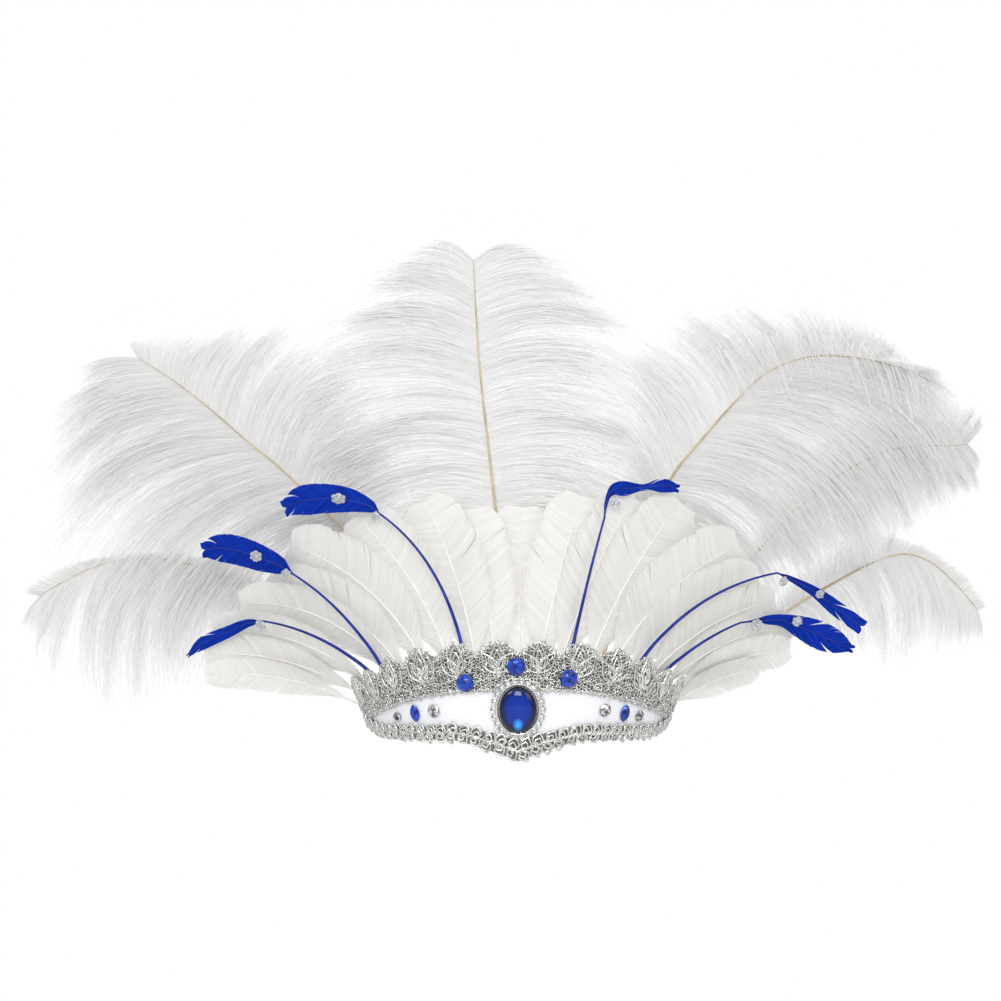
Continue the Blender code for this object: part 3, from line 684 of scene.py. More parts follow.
# For each plume: strands on each side of the quill, how far their tips sag, how far the left
# and the right ones bow towards the tip, and the share of the upper ones that fold over it
PLUME_STRANDS = {
    "plume_center": (2300, 0.09, 0.20, 0.20, 0),
    "plume_left": (2500, 0.10, 0.24, 0.18, 0),
    "plume_right": (2500, 0.08, 0.14, 0.34, 0.16),
    "plume_far_left_low": (1600, 0.16, 0.20, 0.16, 0),
    "plume_far_right_up": (1700, 0.14, 0.16, 0.20, 0),
    "plume_far_right_low": (1600, 0.18, 0.16, 0.24, 0),
}
FOLD_FROM = 0.62
FOLD_DROP = 46
FOLD_ACROSS = 26
STRAND_STEPS = 10
STRAND_WIDE = 0.46
LOCKS = 30


def plume_place(table, share):
    """Quill place and the reach of the barbs on its left and right at a share of the length."""
    x, z, *reaches = spline(table, share)
    grow = mix(1, PLUME_GROW, smooth(share / PLUME_BARE))
    left = Vector(reaches[0:2]) * PLUME_GROW
    right = Vector(reaches[2:4]) * PLUME_GROW
    return Vector(as_seen(x, z, grow)), (left, right)


def plume_hold(share, slot, curl):
    return slot * smooth((share - 0.06) / 0.25) + curl * clamp((share - 0.45) / 0.55) ** 2


def strand(shape, table, share, side, lock, sag, bowed, folded, slot, curl):
    """One barb: it leaves the quill forward, bows outward and sags at its tip."""
    here, reaches = plume_place(table, share)
    ahead, _ = plume_place(table, min(share + 0.01, 1))
    behind, _ = plume_place(table, max(share - 0.01, 0))
    way = (ahead - behind).normalized()
    length_share = lock[0] * (1.09 - 0.42 * chance.random() ** 1.8)
    reach = reaches[side] * length_share
    if reach.length < 4:
        across = Vector((way.y, -way.x)) * (1 if side else -1)
        reach = across * 3 + way * 9 * share
    long = reach.length
    tip = reach + way * (lock[1] + chance.gauss(0, 0.03)) * long
    tip.y -= sag * chance.uniform(0.4, 1.5) * long
    bow = reach * 0.5 + way * long * (bowed + chance.gauss(0, 0.035) + 0.6 * lock[1])
    over = None
    if folded:
        reach_over = chance.uniform(0.5, 1.1)
        over = (tip * 0.75, tip * 1.02 + Vector((FOLD_ACROSS * 0.5, 0)),
                tip * 0.8 + Vector((FOLD_ACROSS, -FOLD_DROP)) * reach_over)
    wave = chance.uniform(0.2, 1.3) * long / 90
    turns = chance.uniform(1.2, 2.6)
    start = chance.uniform(0, FULL_TURN)
    depth_end = chance.uniform(-1.2, 4.5) * long / 80 + lock[2]
    twist = jitter(0.9)
    hold = plume_hold(share, slot, curl)
    flat = Vector((-reach.y, reach.x)).normalized()
    pairs = []
    across = Vector((flat.x * cos(twist), sin(twist), flat.y * cos(twist)))
    for t in spread(0, 1, STRAND_STEPS):
        if over:
            back = 1 - t
            off = over[0] * (3 * back * back * t) + over[1] * (3 * back * t * t) + over[2] * t ** 3
        else:
            off = bow * (2 * (1 - t) * t) + tip * (t * t)
        off += flat * (wave * t * sin(start + turns * FULL_TURN * t))
        x = here.x + off.x
        z = here.y + off.y
        droop = BARB_DROOP * (off.length / BARB_DROOP_AT) ** 2
        lead = -3 * sin(pi * t) if over else depth_end * t
        y = fan_depth(x, z, PLUME_LAYER) + hold + droop + lead
        place = Vector((x, y, z))
        half = across * (STRAND_WIDE * (1 - 0.5 * t ** 2) / 2)
        pairs.append((place - half, place + half))
    strip(shape, pairs)


def build_plume(name, table, slot, curl, barb_mat, quill_mat):
    shape = Shape()
    count, sag, *bows, fold_share = PLUME_STRANDS[name]
    for side in (0, 1):
        locks = [(chance.uniform(0.86, 1.05), chance.gauss(0, 0.05), chance.uniform(-0.5, 1.5))
                 for _ in range(LOCKS + 2)]
        for i in range(count):
            share = mix(PLUME_BARE - 0.015, 0.995, (i + chance.random()) / count)
            where = share * LOCKS
            k = int(where)
            part = smooth((where - k) * 1.6 - 0.3)
            lock = [mix(a, b, part) for a, b in zip(locks[k], locks[k + 1])]
            folded = side == 0 and share > FOLD_FROM and chance.random() < fold_share
            strand(shape, table, share, side, lock, sag, bows[side], folded, slot, curl)
    shape.shade(0)
    line = []
    radii = []
    for share in spread(0, 1, 48):
        here, _ = plume_place(table, share)
        y = fan_depth(here.x, here.y, PLUME_LAYER) + plume_hold(share, slot, curl)
        line.append(Vector((here.x, y, here.y)))
        radii.append(mix(1.15, 0.28, share))
    tube(shape, line, radii, 6)
    shape.shade(1)
    new_piece(name + "_barbs", shape, (barb_mat, quill_mat), name)


# Goose feathers: rows of barbs side by side, with a few splits, on a round shaft

GOOSE_BARBS = 105
GOOSE_BARE = 0.20
GOOSE_SLANT = 0.085
GOOSE_CROSS = 5
GOOSE_LIFT = 0.10
GOOSE_BULGE = 0.21
GOOSE_ROUND_FROM = 0.86
GOOSE_ROUND = 0.165
GOOSE_PLACES = 120
SPLIT_REACH = 7


def goose_width(share, half):
    """Half width of the vane; its top closes in a round end."""
    wide = half * spline([(w,) for _, w in GOOSE_EVEN], min(share, 1))[0]
    if share > GOOSE_ROUND_FROM:
        past = (share - GOOSE_ROUND_FROM) / GOOSE_ROUND
        wide = half * 0.93 * sqrt(max(0, 1 - past ** 2))
    return wide


def even_form(steps=40):
    """The vane's width table at even shares."""
    out = []
    for share in spread(0, 1, steps):
        for (a, wa), (b, wb) in zip(GOOSE_FORM, GOOSE_FORM[1:]):
            if share <= b:
                break
        out.append((share, mix(wa, wb, (share - a) / (b - a))))
    return out


GOOSE_EVEN = even_form()


def build_feather(name, side, row, vane_mat, shaft_mat):
    root_turn, tip_x, tip_z, bend, half, slot = row
    root_z = ROOT_Z - ROOT_FALL * max(0, root_turn - ROOT_FALL_START)
    root = wall(side * root_turn, root_z, -GOOSE_LAYER)
    tip = as_seen(side * tip_x if side else tip_x, tip_z, GOOSE_GROW)
    places = arc_path((root.x, root_z), tip, bend, 1.2, spread(0, 1, GOOSE_PLACES))
    ways = directions(places)

    def at(share, u, depth):
        where = clamp(share) * GOOSE_PLACES
        k = min(int(where), GOOSE_PLACES - 1)
        x = mix(places[k][0], places[k + 1][0], where - k)
        z = mix(places[k][1], places[k + 1][1], where - k)
        over = max(0, share - 1) * 120
        way = ways[k]
        x += way.y * u + way.x * over
        z += -way.x * u + way.y * over
        hold = slot * smooth((share - 0.25) / 0.26)
        return on_fan(x, z, GOOSE_LAYER, hold + SHINGLE * u * side + depth)

    shape = Shape()
    step = (1 - GOOSE_BARE) / GOOSE_BARBS
    for sign in (-1, 1):
        splits = sorted(chance.uniform(0.5, 0.92) for _ in range(chance.choice((0, 1, 1, 2))))
        for i in range(GOOSE_BARBS):
            share = GOOSE_BARE + step * i
            lean = chance.gauss(0, 0.0008)
            for cut in splits:
                away = (share - cut) / step
                if -SPLIT_REACH < away < 0:
                    lean -= 0.006 * (1 + away / SPLIT_REACH)
                elif 0 <= away < SPLIT_REACH:
                    lean += 0.007 * (1 - away / SPLIT_REACH)
            full = chance.uniform(0.965, 1)
            slant = GOOSE_SLANT * (1 - 0.9 * smooth((share - 0.72) / 0.28))
            pairs = []
            for v in spread(0, 1, GOOSE_CROSS):
                slide = min(slant * v ** 1.3 + lean * v * v, 1.015 - share)
                pair = []
                for edge in (-0.5, 0.5):
                    s = share + slide + step * edge * (1.06 - 0.5 * (v > 0.99))
                    wide = max(goose_width(s, half), 0.5) * full
                    depth = -GOOSE_LIFT * edge - GOOSE_BULGE * sin(pi * v)
                    pair.append(at(s, sign * wide * v, depth))
                pairs.append(pair)
            strip(shape, pairs)
    shape.shade(0)
    line = []
    radii = []
    for i in range(0, GOOSE_PLACES - 1, 4):
        share = i / GOOSE_PLACES
        line.append(at(share, 0, -0.25))
        radii.append(mix(0.75, 0.16, share))
    tube(shape, line, radii, 6)
    shape.shade(1)
    new_piece(name + "_barbs", shape, (vane_mat, shaft_mat), name)


# Blue quills: bare stems with ragged vanes at their tips

BLUE_STEP = 0.30
BLUE_CROSS = 4
BLUE_SLANT = 0.15
BLUE_OVERLAP = 2.4


def build_blue(row, vane_mat, stem_mat):
    name, root_turn, root_z, end_x, end_z, bend, power, vane = row
    root = wall(root_turn, root_z, -GOOSE_LAYER)
    end = as_seen(end_x, end_z, BLUE_GROW)
    shares = spread(0, 1, 60)
    stem = arc_path((root.x, root_z), end, bend, power, shares)
    knots = [(*stem[-1], 0.75)] + [(*as_seen(x, z, BLUE_GROW), half) for x, z, half in vane]
    rows = [spline(knots, share) for share in shares]
    long = sum((Vector(a[:2]) - Vector(b[:2])).length for a, b in zip(rows, rows[1:]))

    def at(share, u, depth):
        x, z, _ = spline(knots, clamp(share))
        x2, z2, _ = spline(knots, clamp(share) + (0.01 if share < 0.98 else -0.01))
        way = Vector((x2 - x, z2 - z)).normalized() * (1 if share < 0.98 else -1)
        over = max(0, share - 1) * long
        x += way.y * u + way.x * over
        z += -way.x * u + way.y * over
        return on_fan(x, z, GOOSE_LAYER, depth - blue_lead(x, z))

    shape = Shape()
    count = int(long / BLUE_STEP)
    step = 1 / count
    for sign in (-1, 1):
        gap = chance.uniform(0.55, 0.9)
        for i in range(count):
            share = step * i
            lean = chance.gauss(0, 0.003)
            if abs(share - gap) < 0.05:
                lean += 0.025 * (1 if share > gap else -1)
            full = chance.uniform(0.98, 1.03)
            pairs = []
            for v in spread(0, 1, BLUE_CROSS):
                slide = min(BLUE_SLANT * v ** 1.2 + lean * v * v, 1.03 - share)
                pair = []
                for edge in (-0.5, 0.5):
                    s = share + slide + step * edge * BLUE_OVERLAP
                    wide = max(spline(knots, clamp(s))[2], 0.5) * full
                    pair.append(at(s, sign * wide * v, -0.08 * edge - 0.3 * v * v))
                pairs.append(pair)
            strip(shape, pairs)
    shape.shade(0)
    line = []
    radii = []
    whole = stem + [row[:2] for row in rows[2:]]
    for i in range(0, len(whole), 2):
        x, z = whole[i]
        line.append(on_fan(x, z, GOOSE_LAYER, -blue_lead(x, z)))
        radii.append(mix(1.2, 0.34, min(1, 1.5 * i / len(whole))))
    tube(shape, line, radii, 8)
    shape.shade(1)
    new_piece(name + "_barbs", shape, (vane_mat, stem_mat), name)


# Band, strap and backing


def sweep(shape, section, low, high, count):
    """Skin through a section's places, each a height and a distance out, at turns of the band."""
    skin(shape, [[wall(turn, z, out) for z, out in section(turn)]
                 for turn in spread(low, high, count)])


def build_band(mat):
    def section(turn):
        low = lower_edge(turn) + BRAID_OVERHANG
        high = band_top(half_width(30) * sin(radians(turn)))
        inner = -BAND_WALL
        return ((low + 0.5, 0), (mix(low, high, 0.25), 0.1), (mix(low, high, 0.6), 0.1),
                (high - 0.6, 0), (high, -0.6), (high, inner + 0.6), (high - 0.6, inner),
                (mix(low, high, 0.5), inner), (low + 0.5, inner), (low, inner + 0.6), (low, -0.6))

    shape = Shape()
    sweep(shape, section, -BAND_END, BAND_END, 180)
    new_piece("band_fabric_cover", shape, (mat,), "band")


STRAP_RIBS = 9
RIB_TALL = (0.22, 0.2)


def build_strap(mat):
    """Elastic with raised ribs along its length."""
    heights = spread(STRAP_LOW, STRAP_HIGH, STRAP_RIBS * 2)
    outer = [(z, -STRAP_LAYER - (0 if i % 2 else RIB_TALL[0])) for i, z in enumerate(heights)]
    inner = [(z, -STRAP_LAYER - STRAP_WALL + (0 if i % 2 else RIB_TALL[1]))
             for i, z in enumerate(heights)]
    shape = Shape()
    sweep(shape, lambda turn: outer + inner[::-1], STRAP_START, 360 - STRAP_START, 150)
    new_piece("strap_elastic", shape, (mat,), "strap")


STITCHES = 62
STITCH_IN = 2.2


def build_backing(felt_mat, thread_mat):
    """Felt strip with soft edges and a row of hand stitches near its two edges."""
    out = -BACKING_LAYER
    inner = out - BACKING_WALL

    def section(turn):
        puff = 0.15 * sin(turn * 1.7)
        return ((BACKING_LOW + 0.7, out), (BACKING_HIGH - 0.7, out), (BACKING_HIGH, out - 0.7),
                (BACKING_HIGH, inner + 0.6), (BACKING_HIGH - 0.7, inner + 0.1),
                (19, inner + puff), (14, inner - puff), (BACKING_LOW + 0.7, inner + 0.1),
                (BACKING_LOW, inner + 0.6), (BACKING_LOW, out - 0.7))

    shape = Shape()
    sweep(shape, section, -BACKING_END, BACKING_END, 160)
    shape.shade(0)
    for z, tilt in ((BACKING_LOW + STITCH_IN, 0.45), (BACKING_HIGH - STITCH_IN, -0.45)):
        for turn in spread(-BACKING_END + 2, BACKING_END - 2, STITCHES - 1):
            line = [wall(turn - 0.6, z - tilt, inner - 0.02), wall(turn, z, inner - 0.25),
                    wall(turn + 0.6, z + tilt, inner - 0.02)]
            tube(shape, line, [0.22] * 3, 5)
    shape.shade(1)
    new_piece("root_backing_felt", shape, (felt_mat, thread_mat), "root_backing")


# Lace, braid and setting: silver cords and rings over a net


def ring(shape, turn, z, out, across, along, thick, tip, tilt, steps=12, sides=5):
    """Small loop of bullion; tilt lifts one of its sides, tip turns it in its plane."""
    origin, right, up, away = seat(turn, z, out)
    line = []
    for a in angles(steps):
        x = across * cos(a)
        y = along * sin(a)
        u = x * cos(tip) - y * sin(tip)
        v = x * sin(tip) + y * cos(tip)
        line.append(origin + right * u + up * v + away * (tilt[0] * x + tilt[1] * y))
    tube(shape, line, [thick] * steps, sides, closed=True)


PETAL_STEPS = 22


def petal(shape, turn, z, out, long, wide, angle, thick, lift=0):
    """Leaf-shaped loop of cord that points away from its foot."""
    origin, right, up, away = seat(turn, z, out)
    line = []
    for a in angles(PETAL_STEPS):
        v = long * (1 - cos(a)) / 2
        u = wide * sin(a) * sin(pi * min(1, (v / long) ** 0.8) * 0.92 + 0.12)
        x = u * cos(angle) + v * sin(angle)
        y = -u * sin(angle) + v * cos(angle)
        line.append(origin + right * x + up * y + away * (lift * sin(pi * v / long)))
    tube(shape, line, [thick] * PETAL_STEPS, 6, closed=True)


def net(shape, low_of, high_of, count, out, rows=6):
    """Thin backing net between two edges, with both of its sides."""
    def section(turn):
        heights = spread(low_of(turn), high_of(turn), rows)
        return [(z, out) for z in heights] + [(z, out - 0.25) for z in reversed(heights)]

    sweep(shape, section, -BAND_END, BAND_END, count)


LACE_PITCH = 1.85


def build_lace(silver_mat, net_mat):
    shape = Shape()
    net(shape, lambda t: lace_height(t, 0.03), lambda t: lace_height(t, 0.93), 288,
        GAP + 0.35)
    shape.shade(1)
    turn_step = degrees(LACE_PITCH / (BAND_HALF_WIDTH + 12))
    columns = int(2 * BAND_END / turn_step)
    for i in range(columns + 1):
        turn = -BAND_END + turn_step * i
        low = lace_height(turn, 0)
        high = lace_height(turn, 0.97)
        count = max(2, int((high - low) / LACE_PITCH))
        for j in range(count + 1):
            z = mix(low + 0.6, high - 0.4, (j + (0.5 if i % 2 else 0)) / count)
            if z > high:
                continue
            size = chance.uniform(0.95, 1.65)
            ring(shape, turn + jitter(0.25), z + jitter(0.3),
                 GAP + chance.uniform(0.9, 1.5), size, size * chance.uniform(0.45, 0.9), 0.34,
                 chance.uniform(0, 3.1), (jitter(0.6), jitter(0.6)),
                 10, 4)
    for i in range(SCALLOPS):
        turn = -BAND_END + 2 * BAND_END * (i + 0.5) / SCALLOPS
        low = lace_height(turn, 0.30)
        long = lace_height(turn, 1) - low
        for angle, share in ((0, 1), (-0.65, 0.80), (0.65, 0.80)):
            for inset in (1, 0.55):
                petal(shape, turn, mix(low, low + long * share, (1 - inset) * 0.4),
                      GAP + 1.5, long * share * inset, long * 0.20 * inset, angle, 0.55, 0.3)
        for j in range(7):
            away = (j - 3) * 1.9
            edge = turn + away
            petal(shape, edge, lace_height(edge, 0.86), GAP + 1.4, 3, 1.1,
                  radians(away * 5), 0.34, 0.2)
    for row, thick in ((0.04, 0.55), (0.27, 0.42)):
        line = [wall(t, lace_height(t, row) + 0.35 * sin(t * 2.4), GAP + 1.45)
                for t in spread(-BAND_END, BAND_END, 400)]
        radii = [thick * (1 + 0.25 * sin(i * 2.1)) for i in range(len(line))]
        tube(shape, line, radii, 6)
    shape.shade(0)
    new_piece("top_lace_bullion", shape, (silver_mat, net_mat), "top_lace")


BRAID_LOBES = 34


def build_braid(silver_mat, net_mat):
    shape = Shape()
    net(shape, lambda t: lower_edge(t) + 0.9, lambda t: braid_top(t) - 0.9, 200, GAP + 0.4, 3)
    shape.shade(1)
    pitch = 2 * BAND_END / BRAID_LOBES
    for i in range(BRAID_LOBES):
        for row in (0, 1):
            turn = -BAND_END + pitch * (i + (0.5 if row else 0.25))
            turn = clamp(turn, -BAND_END + 1.5, BAND_END - 1.5)
            middle = mix(lower_edge(turn), braid_top(turn), 0.5)
            long = (braid_top(turn) - lower_edge(turn)) * chance.uniform(0.50, 0.58)
            angle = 0.45 if row else pi - 0.45
            for inset in (1, 0.6):
                petal(shape, turn, middle, GAP + 1.2, long * inset + 0.4,
                      3 * inset, angle + jitter(0.3), 0.64, 0.4)
            for k in range(5):
                ring(shape, turn + jitter(0.6),
                     middle + jitter(1.4), GAP + 1.5, 0.8, 0.6, 0.26,
                     chance.uniform(0, 3), (jitter(0.5), jitter(0.5)),
                     9, 4)
    for phase in (0, pi):
        line = []
        for j, t in enumerate(spread(-BAND_END, BAND_END, 500)):
            middle = mix(lower_edge(t), braid_top(t), 0.5)
            a = 2 * pi * BRAID_LOBES * 1.5 * j / 500 + phase
            line.append(wall(t, middle + 0.6 * sin(a), GAP + 1.7 + 0.4 * cos(a)))
        tube(shape, line, [0.42] * len(line), 5)
    shape.shade(0)
    new_piece("bottom_braid_bullion", shape, (silver_mat, net_mat),
              "bottom_braid")


def oval_seat(a, share, out):
    across = mix(SETTING_INNER[0], SETTING_OUTER[0], share)
    along = mix(SETTING_INNER[1], SETTING_OUTER[1], share)
    x = across * sin(a)
    z = SETTING_Z + along * cos(a)
    return seat(turn_at(x, z), z, out)


def build_setting(metal_mat):
    """Oval setting: a smooth wall, a rope of pearl-like beads and an outer row of loops."""
    shape = Shape()
    loops = []
    profile = ((0, 0.2), (0, 2.6), (0.12, 3.1), (0.35, 2.9), (0.55, 1.7), (0.98, 1.1),
               (0.98, 0.2))
    for a in angles(96):
        loops.append([oval_seat(a, share, GAP + tall)[0] for share, tall in profile])
    skin(shape, loops, closed=True)
    for a in angles(SETTING_LOBES * 2):
        bead(shape, oval_seat(a, 0.30, GAP + 2.4), (0.72, 0.72, 1))
    for a in angles(SETTING_LOBES, 0.5):
        origin, right, up, away = oval_seat(a, 0.72, GAP + 1.1)
        bead(shape, (origin, right, up, away), (1.5, 1.5, 1.3), 6, 12)
        line = [origin + right * (1.75 * cos(b)) + up * (1.75 * sin(b)) + away * 0.25
                for b in angles(14)]
        tube(shape, line, [0.36] * 14, 5, closed=True)
    new_piece("gem_setting_braided", shape, (metal_mat,), "gem_setting")


# Stones


def cut_stone(shape, where, half, tall, levels, sides, turn=0, stagger=0.5):
    """Closed stone through levels of width and height; every second level is turned a little."""
    origin, right, up, away = where
    loops = []
    for level, (share, height) in enumerate(levels):
        loops.append([origin + right * (half[0] * share * sin(-a - turn))
                      + up * (half[1] * share * cos(-a - turn)) + away * (tall * height)
                      for a in angles(sides, stagger * (level % 2))])
    skin(shape, loops)


def build_gem(name, node, where, half, tall, mat, levels, sides, smooth_dome=False):
    shape = Shape()
    cut_stone(shape, where, half, tall, levels, sides, stagger=0 if smooth_dome else 0.5)
    new_piece(name, shape, (mat,), node, flat=not smooth_dome)


GEM_LEVELS = ((0.90, 0), (0.99, 0.22), (1, 0.32), (0.88, 0.58), (0.72, 0.84), (0.50, 1))


def build_stones(blue_mat, dome_mat, foiled_mat):
    dome = [(0.90, 0), (0.985, 0.14), (1, 0.26)]
    dome += [(cos(a * pi / 20), 0.26 + 0.74 * sin(a * pi / 20))
             for a in range(1, 10)]
    build_gem("center_gem_cabochon", "center_gem", seat(0, SETTING_Z, STONE_SEAT), GEM_HALF,
              5.6, dome_mat, dome, 56, True)
    on_lace = GAP + LACE_THICK + GAP + 0.2
    for name, x, z in (("left", -27.5, 31.3), ("top", -1, 40.5), ("right", 26.5, 33.8)):
        build_gem(f"round_gem_{name}_cut", f"round_gem_{name}", seat(turn_at(x, z), z, on_lace),
                  (5, 5), 3.4, blue_mat, GEM_LEVELS, 16)
    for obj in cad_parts.values():
        if obj.name.startswith("side_"):
            obj.data.materials[0] = blue_mat if "blue" in obj.name else foiled_mat


# Crystals: each is a cluster of small cut stones in its node's outline


def build_crystal(name, seen_x, seen_z, across, along, mat):
    x, z = as_seen(seen_x, seen_z, BLUE_GROW)
    back = -(blue_lead(x, z) + CRYSTAL_SEAT)
    origin = on_fan(x, z, GOOSE_LAYER, back)
    right = (on_fan(x + 1, z, GOOSE_LAYER, back) - origin).normalized()
    up = (on_fan(x, z + 1, GOOSE_LAYER, back) - origin).normalized()
    right, up, away = axes(right, up, Vector((0, -1, 0)))
    shape = Shape()
    for i in range(7):
        a = 2 * pi * i / 6 + 0.4
        reach = 0 if i == 6 else 0.56
        size = chance.uniform(0.36, 0.46) * (1.25 if i == 6 else 1)
        foot = (origin + right * (across * reach * cos(a)) + up * (along * reach * sin(a))
                + away * (0.5 if i == 6 else 0))
        turn = chance.uniform(0, FULL_TURN)
        tilt = right * jitter(0.25) + up * jitter(0.25)
        where = (foot, right, up, (away + tilt).normalized())
        cut_stone(shape, where, (across * size, along * size), CRYSTAL_TALL * 0.75,
                  CRYSTAL_LEVELS, 8, turn)
    new_piece(name + "_cluster", shape, (mat,), name, flat=True)


# Stage: a pale floor at a wearer's feet, white surroundings, soft lights and the camera

WORLD_LIGHT = 0.86
# Height from below to above as a share, and the brightness there
WORLD_BANDS = ((0, 0.30), (0.36, 0.52), (0.50, 0.62), (0.62, 0.45), (0.72, 1), (1, 1.15))
# Soft lights: name, place in metres, width and height in metres, power in watts
LIGHTS = (
    ("window", (0, -1.75, 0.62), 0.72, 0.66, 12),
    ("key", (-1.4, -1.6, 1.3), 0.8, 0.8, 9),
    ("fill", (1.6, -1.7, 0.7), 1, 1, 6.5),
    ("back", (0.4, 1.8, 0.9), 1.4, 1, 10),
)
LIGHT_AIM = Vector((0, 0, 0.12))
CAMERA_PLACE = (-0.0095, -2.600, 0.130)
CAMERA_LENS = 166.2
FLOOR_Z = -1.50
FLOOR_HALF = 6


def world_light():
    """The camera sees plain white; the light itself is brighter from above, with dark bands."""
    world = bpy.data.worlds.new("studio")
    bpy.context.scene.world = world
    world.use_nodes = True
    plain = world.node_tree.nodes["Background"]
    plain.inputs["Color"].default_value = (1, 1, 1, 1)
    place = add_node(world, "ShaderNodeTexCoord")
    parts = add_node(world, "ShaderNodeSeparateXYZ")
    link(world, place, "Generated", parts, "Vector")
    height = add_node(world, "ShaderNodeMapRange", **{"From Min": -1})
    link(world, parts, "Z", height, "Value")
    ramp = add_ramp(world, [(where, (bright, bright, bright * 1.01))
                            for where, bright in WORLD_BANDS])
    link(world, height, "Result", ramp, "Fac")
    lit = add_node(world, "ShaderNodeBackground", Strength=WORLD_LIGHT)
    link(world, ramp, "Color", lit, "Color")
    rays = add_node(world, "ShaderNodeLightPath")
    blend = add_node(world, "ShaderNodeMixShader")
    link(world, rays, "Is Camera Ray", blend, "Fac")
    link(world, lit, "Background", blend, 1)
    link(world, plain, "Background", blend, 2)
    link(world, blend, "Shader", world.node_tree.nodes["World Output"], "Surface")


def build_stage():
    world_light()
    for name, place, wide, tall, power in LIGHTS:
        data = bpy.data.lights.new(name, "AREA")
        data.shape = "RECTANGLE"
        data.size = wide
        data.size_y = tall
        data.energy = power
        lamp = new_object(name, data)
        lamp.location = place
        aim = LIGHT_AIM - Vector(place)
        lamp.rotation_euler = aim.to_track_quat("-Z", "Y").to_euler()
    floor_mesh = bpy.data.meshes.new("floor")
    corners = [(x * FLOOR_HALF, y * FLOOR_HALF, FLOOR_Z) for x, y in
               ((-1, -1), (1, -1), (1, 1), (-1, 1))]
    floor_mesh.from_pydata(corners, [], [(0, 1, 2, 3)])
    floor_mat = material("pale floor", 0.9, (0.90, 0.90, 0.90), (0.90, 0.90, 0.90), 5)
    roughen(floor_mat, 40, 0.1, 0.0005)
    floor_mesh.materials.append(floor_mat)
    new_object("floor", floor_mesh)
    data = bpy.data.cameras.new("camera")
    data.lens = CAMERA_LENS
    data.sensor_width = 36
    data.clip_end = 100
    camera = new_object("camera", data)
    camera.location = CAMERA_PLACE
    camera.rotation_euler = (radians(90), 0, 0)
    bpy.context.scene.camera = camera
    bpy.context.scene.view_settings.view_transform = "Standard"


# Colours of the cabochon from a place outward: its height, its reach as a share of the stone's
# half size, and stops of distance and colour. The first row is the stone's deep blue with painted
# shade darkening towards its rim and a painted grey reflection at the very edge; the second row is
# a painted cyan glow low in the stone.
DOME_TONE_AND_PAINTED_LIGHT = (
    # Deep blue middle, then painted shade darkening to the rim and a painted grey reflection at
    # its edge
    (SETTING_Z, 1, ((0, (0.001, 0.035, 0.36)), (0.62, (0.001, 0.022, 0.26)),
                      (0.84, (0.002, 0.005, 0.05)), (0.94, (0.008, 0.010, 0.02)),
                      (1, (0.10, 0.11, 0.12)))),
    # Painted cyan glow low in the stone
    (SETTING_Z - 8.4, 0.30, ((0, (0.05, 0.50, 0.90)), (0.45, (0.02, 0.22, 0.60)),
                             (1, (0, 0, 0)))),
)


def paint_dome_shade_and_glow(mat):
    """Deep blue middle with painted shade at the rim, and a painted glow low in the stone."""
    place = add_node(mat, "ShaderNodeTexCoord")
    both = add_node(mat, "ShaderNodeMix", data_type="RGBA", blend_type="ADD")
    both.inputs["Factor"].default_value = 1
    colors = [socket for socket in both.inputs if socket.type == "RGBA"]
    for into, (middle, reach, stops) in zip(colors, DOME_TONE_AND_PAINTED_LIGHT):
        size = (GEM_HALF[0] * MM * reach, 1e3, GEM_HALF[1] * MM * reach)
        mapping = add_node(mat, "ShaderNodeMapping", vector_type="TEXTURE",
                           Location=(0, 0, middle * MM), Scale=size)
        length = add_node(mat, "ShaderNodeVectorMath", operation="LENGTH")
        ramp = add_ramp(mat, stops)
        link(mat, place, "Object", mapping, "Vector")
        link(mat, mapping, "Vector", length, 0)
        link(mat, length, "Value", ramp, "Fac")
        mat.node_tree.links.new(ramp.outputs["Color"], into)
    mixed = [socket for socket in both.outputs if socket.type == "RGBA"][0]
    mat.node_tree.links.new(mixed, mat.node_tree.nodes["Principled BSDF"].inputs["Base Color"])


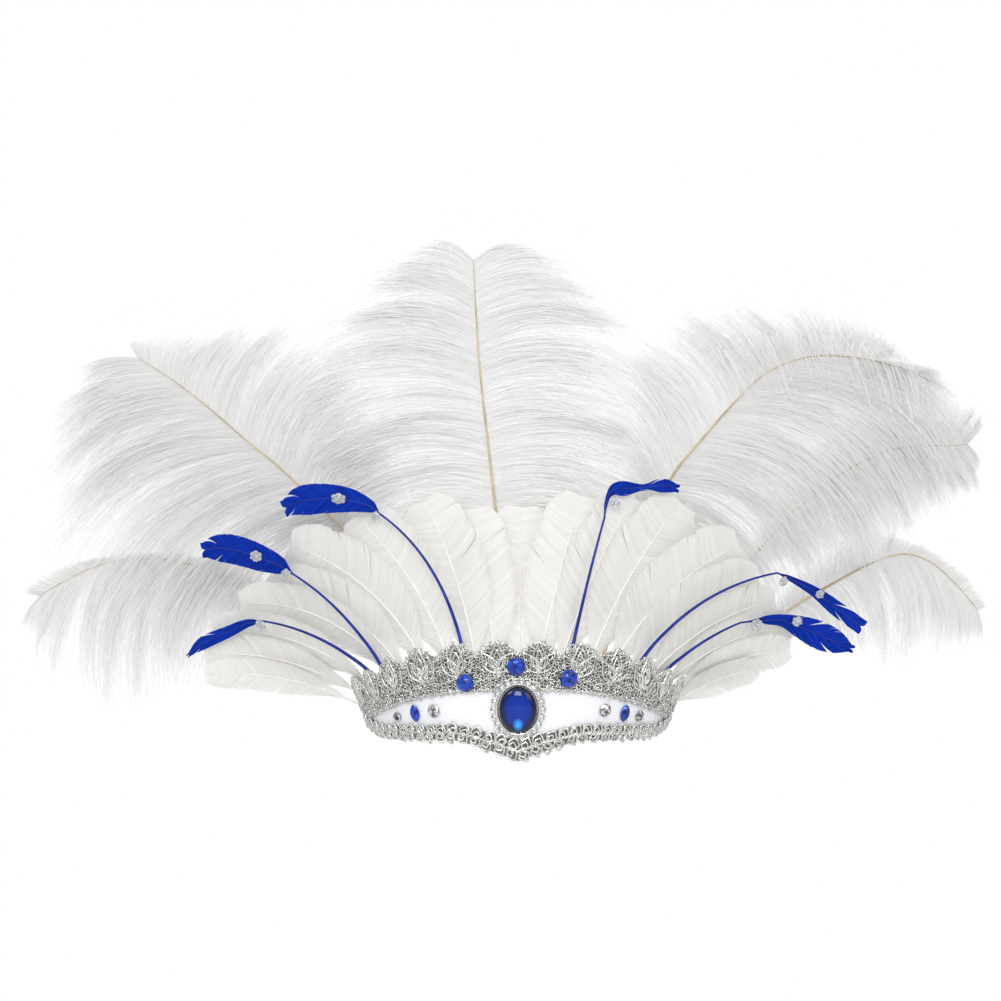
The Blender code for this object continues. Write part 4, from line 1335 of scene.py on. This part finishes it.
def main():
    fabric = material("white satin band", 0.42, (0.88, 0.89, 0.93), (0.94, 0.94, 0.95), 900,
                      sheen_weight=0.3)
    roughen(fabric, 900, 0.25, 0.0002, "weave")
    elastic = material("white ribbed elastic", 0.75, (0.74, 0.74, 0.73), (0.86, 0.86, 0.85), 300,
                       sheen_weight=0.2)
    roughen(elastic, 1400, 0.5, 0.0003, "weave")
    felt = material("white felt", 0.95, (0.72, 0.72, 0.70), (0.88, 0.88, 0.86), 700,
                    sheen_weight=0.5)
    roughen(felt, 1500, 0.8, 0.0005)
    thread = material("white thread", 0.6, (0.80, 0.80, 0.78), (0.93, 0.93, 0.92), 2500)
    # Noise between darker and brighter silver: random tone of the wire, with painted sparkle in
    # the brighter patches
    silver = material("silver bullion", 0.20, (0.50, 0.51, 0.47), (0.92, 0.93, 0.90), 420,
                      metallic=0.95)
    roughen(silver, 2600, 0.35, 0.0003)
    net_mat = material("silver net", 0.45, (0.48, 0.49, 0.46), (0.84, 0.85, 0.82), 900,
                       metallic=0.6)
    roughen(net_mat, 1600, 0.9, 0.0005, "weave")
    bright = material("bright setting metal", 0.13, (0.62, 0.63, 0.61), (0.88, 0.88, 0.87), 500,
                      metallic=1)
    # Cells from dark navy to bright blue: painted glints and painted shade on the cut stones
    blue = material("blue glass", 0.04, (0.001, 0.004, 0.09), (0.005, 0.075, 0.60), 480,
                    "facets", ior=1.5)
    dome = plain_material("deep blue cabochon", 0.04, ior=1.45)
    # The cabochon's colour carries painted rim shade and a painted glow
    paint_dome_shade_and_glow(dome)
    # Cells from near black to bright silver: painted glints and painted shade on the foiled stones
    foiled = material("foiled clear glass", 0.07, (0.02, 0.02, 0.02), (0.85, 0.86, 0.86), 620,
                      "facets", metallic=0.9)
    clear = material("clear glass", 0.03, (0.55, 0.60, 0.66), (0.97, 0.98, 1), 500,
                     transmission_weight=0.55, coat_weight=1, ior=1.55)
    goose_vane = material("white goose barbs", 0.62, (0.77, 0.76, 0.72), (0.87, 0.86, 0.83), 0,
                          "strand", sheen_weight=0.15)
    let_light_through(goose_vane, (0.85, 0.84, 0.82), 0.22)
    goose_shaft = material("goose shaft", 0.35, (0.82, 0.80, 0.74), (0.92, 0.91, 0.87), 200)
    ostrich = material("white ostrich barbs", 0.5, (0.79, 0.785, 0.775), (1, 0.995, 0.985), 0,
                       "strand", sheen_weight=0.3)
    let_light_through(ostrich, (0.94, 0.94, 0.94), 0.35)
    quill = material("tan quill", 0.4, (0.36, 0.30, 0.18), (0.70, 0.60, 0.42), 60)
    blue_vane = material("royal blue barbs", 0.7, (0.001, 0.012, 0.20), (0.003, 0.040, 0.46), 0,
                         "strand", specular_ior_level=0.08)
    blue_stem = material("blue stem", 0.4, (0.003, 0.010, 0.13), (0.010, 0.035, 0.34), 120,
                         specular_ior_level=0.3)

    build_stage()
    build_band(fabric)
    build_strap(elastic)
    build_backing(felt, thread)
    build_lace(silver, net_mat)
    build_braid(silver, net_mat)
    build_setting(bright)
    build_stones(blue, dome, foiled)
    build_feather("goose_center", 0, (0, 2, 127, 0, 18, CENTER_SLOT), goose_vane,
                  goose_shaft)
    for side, table, label in ((-1, GOOSE_LEFT, "left"), (1, GOOSE_RIGHT, "right")):
        for i, row in enumerate(table):
            build_feather(f"goose_{label}_{i + 1}", side, row, goose_vane, goose_shaft)
    for row in BLUE_QUILLS:
        build_blue(row, blue_vane, blue_stem)
    for row in CRYSTALS:
        build_crystal(*row, clear)
    for name, table, slot, curl in PLUMES:
        build_plume(name, table, slot, curl, ostrich, quill)


main()
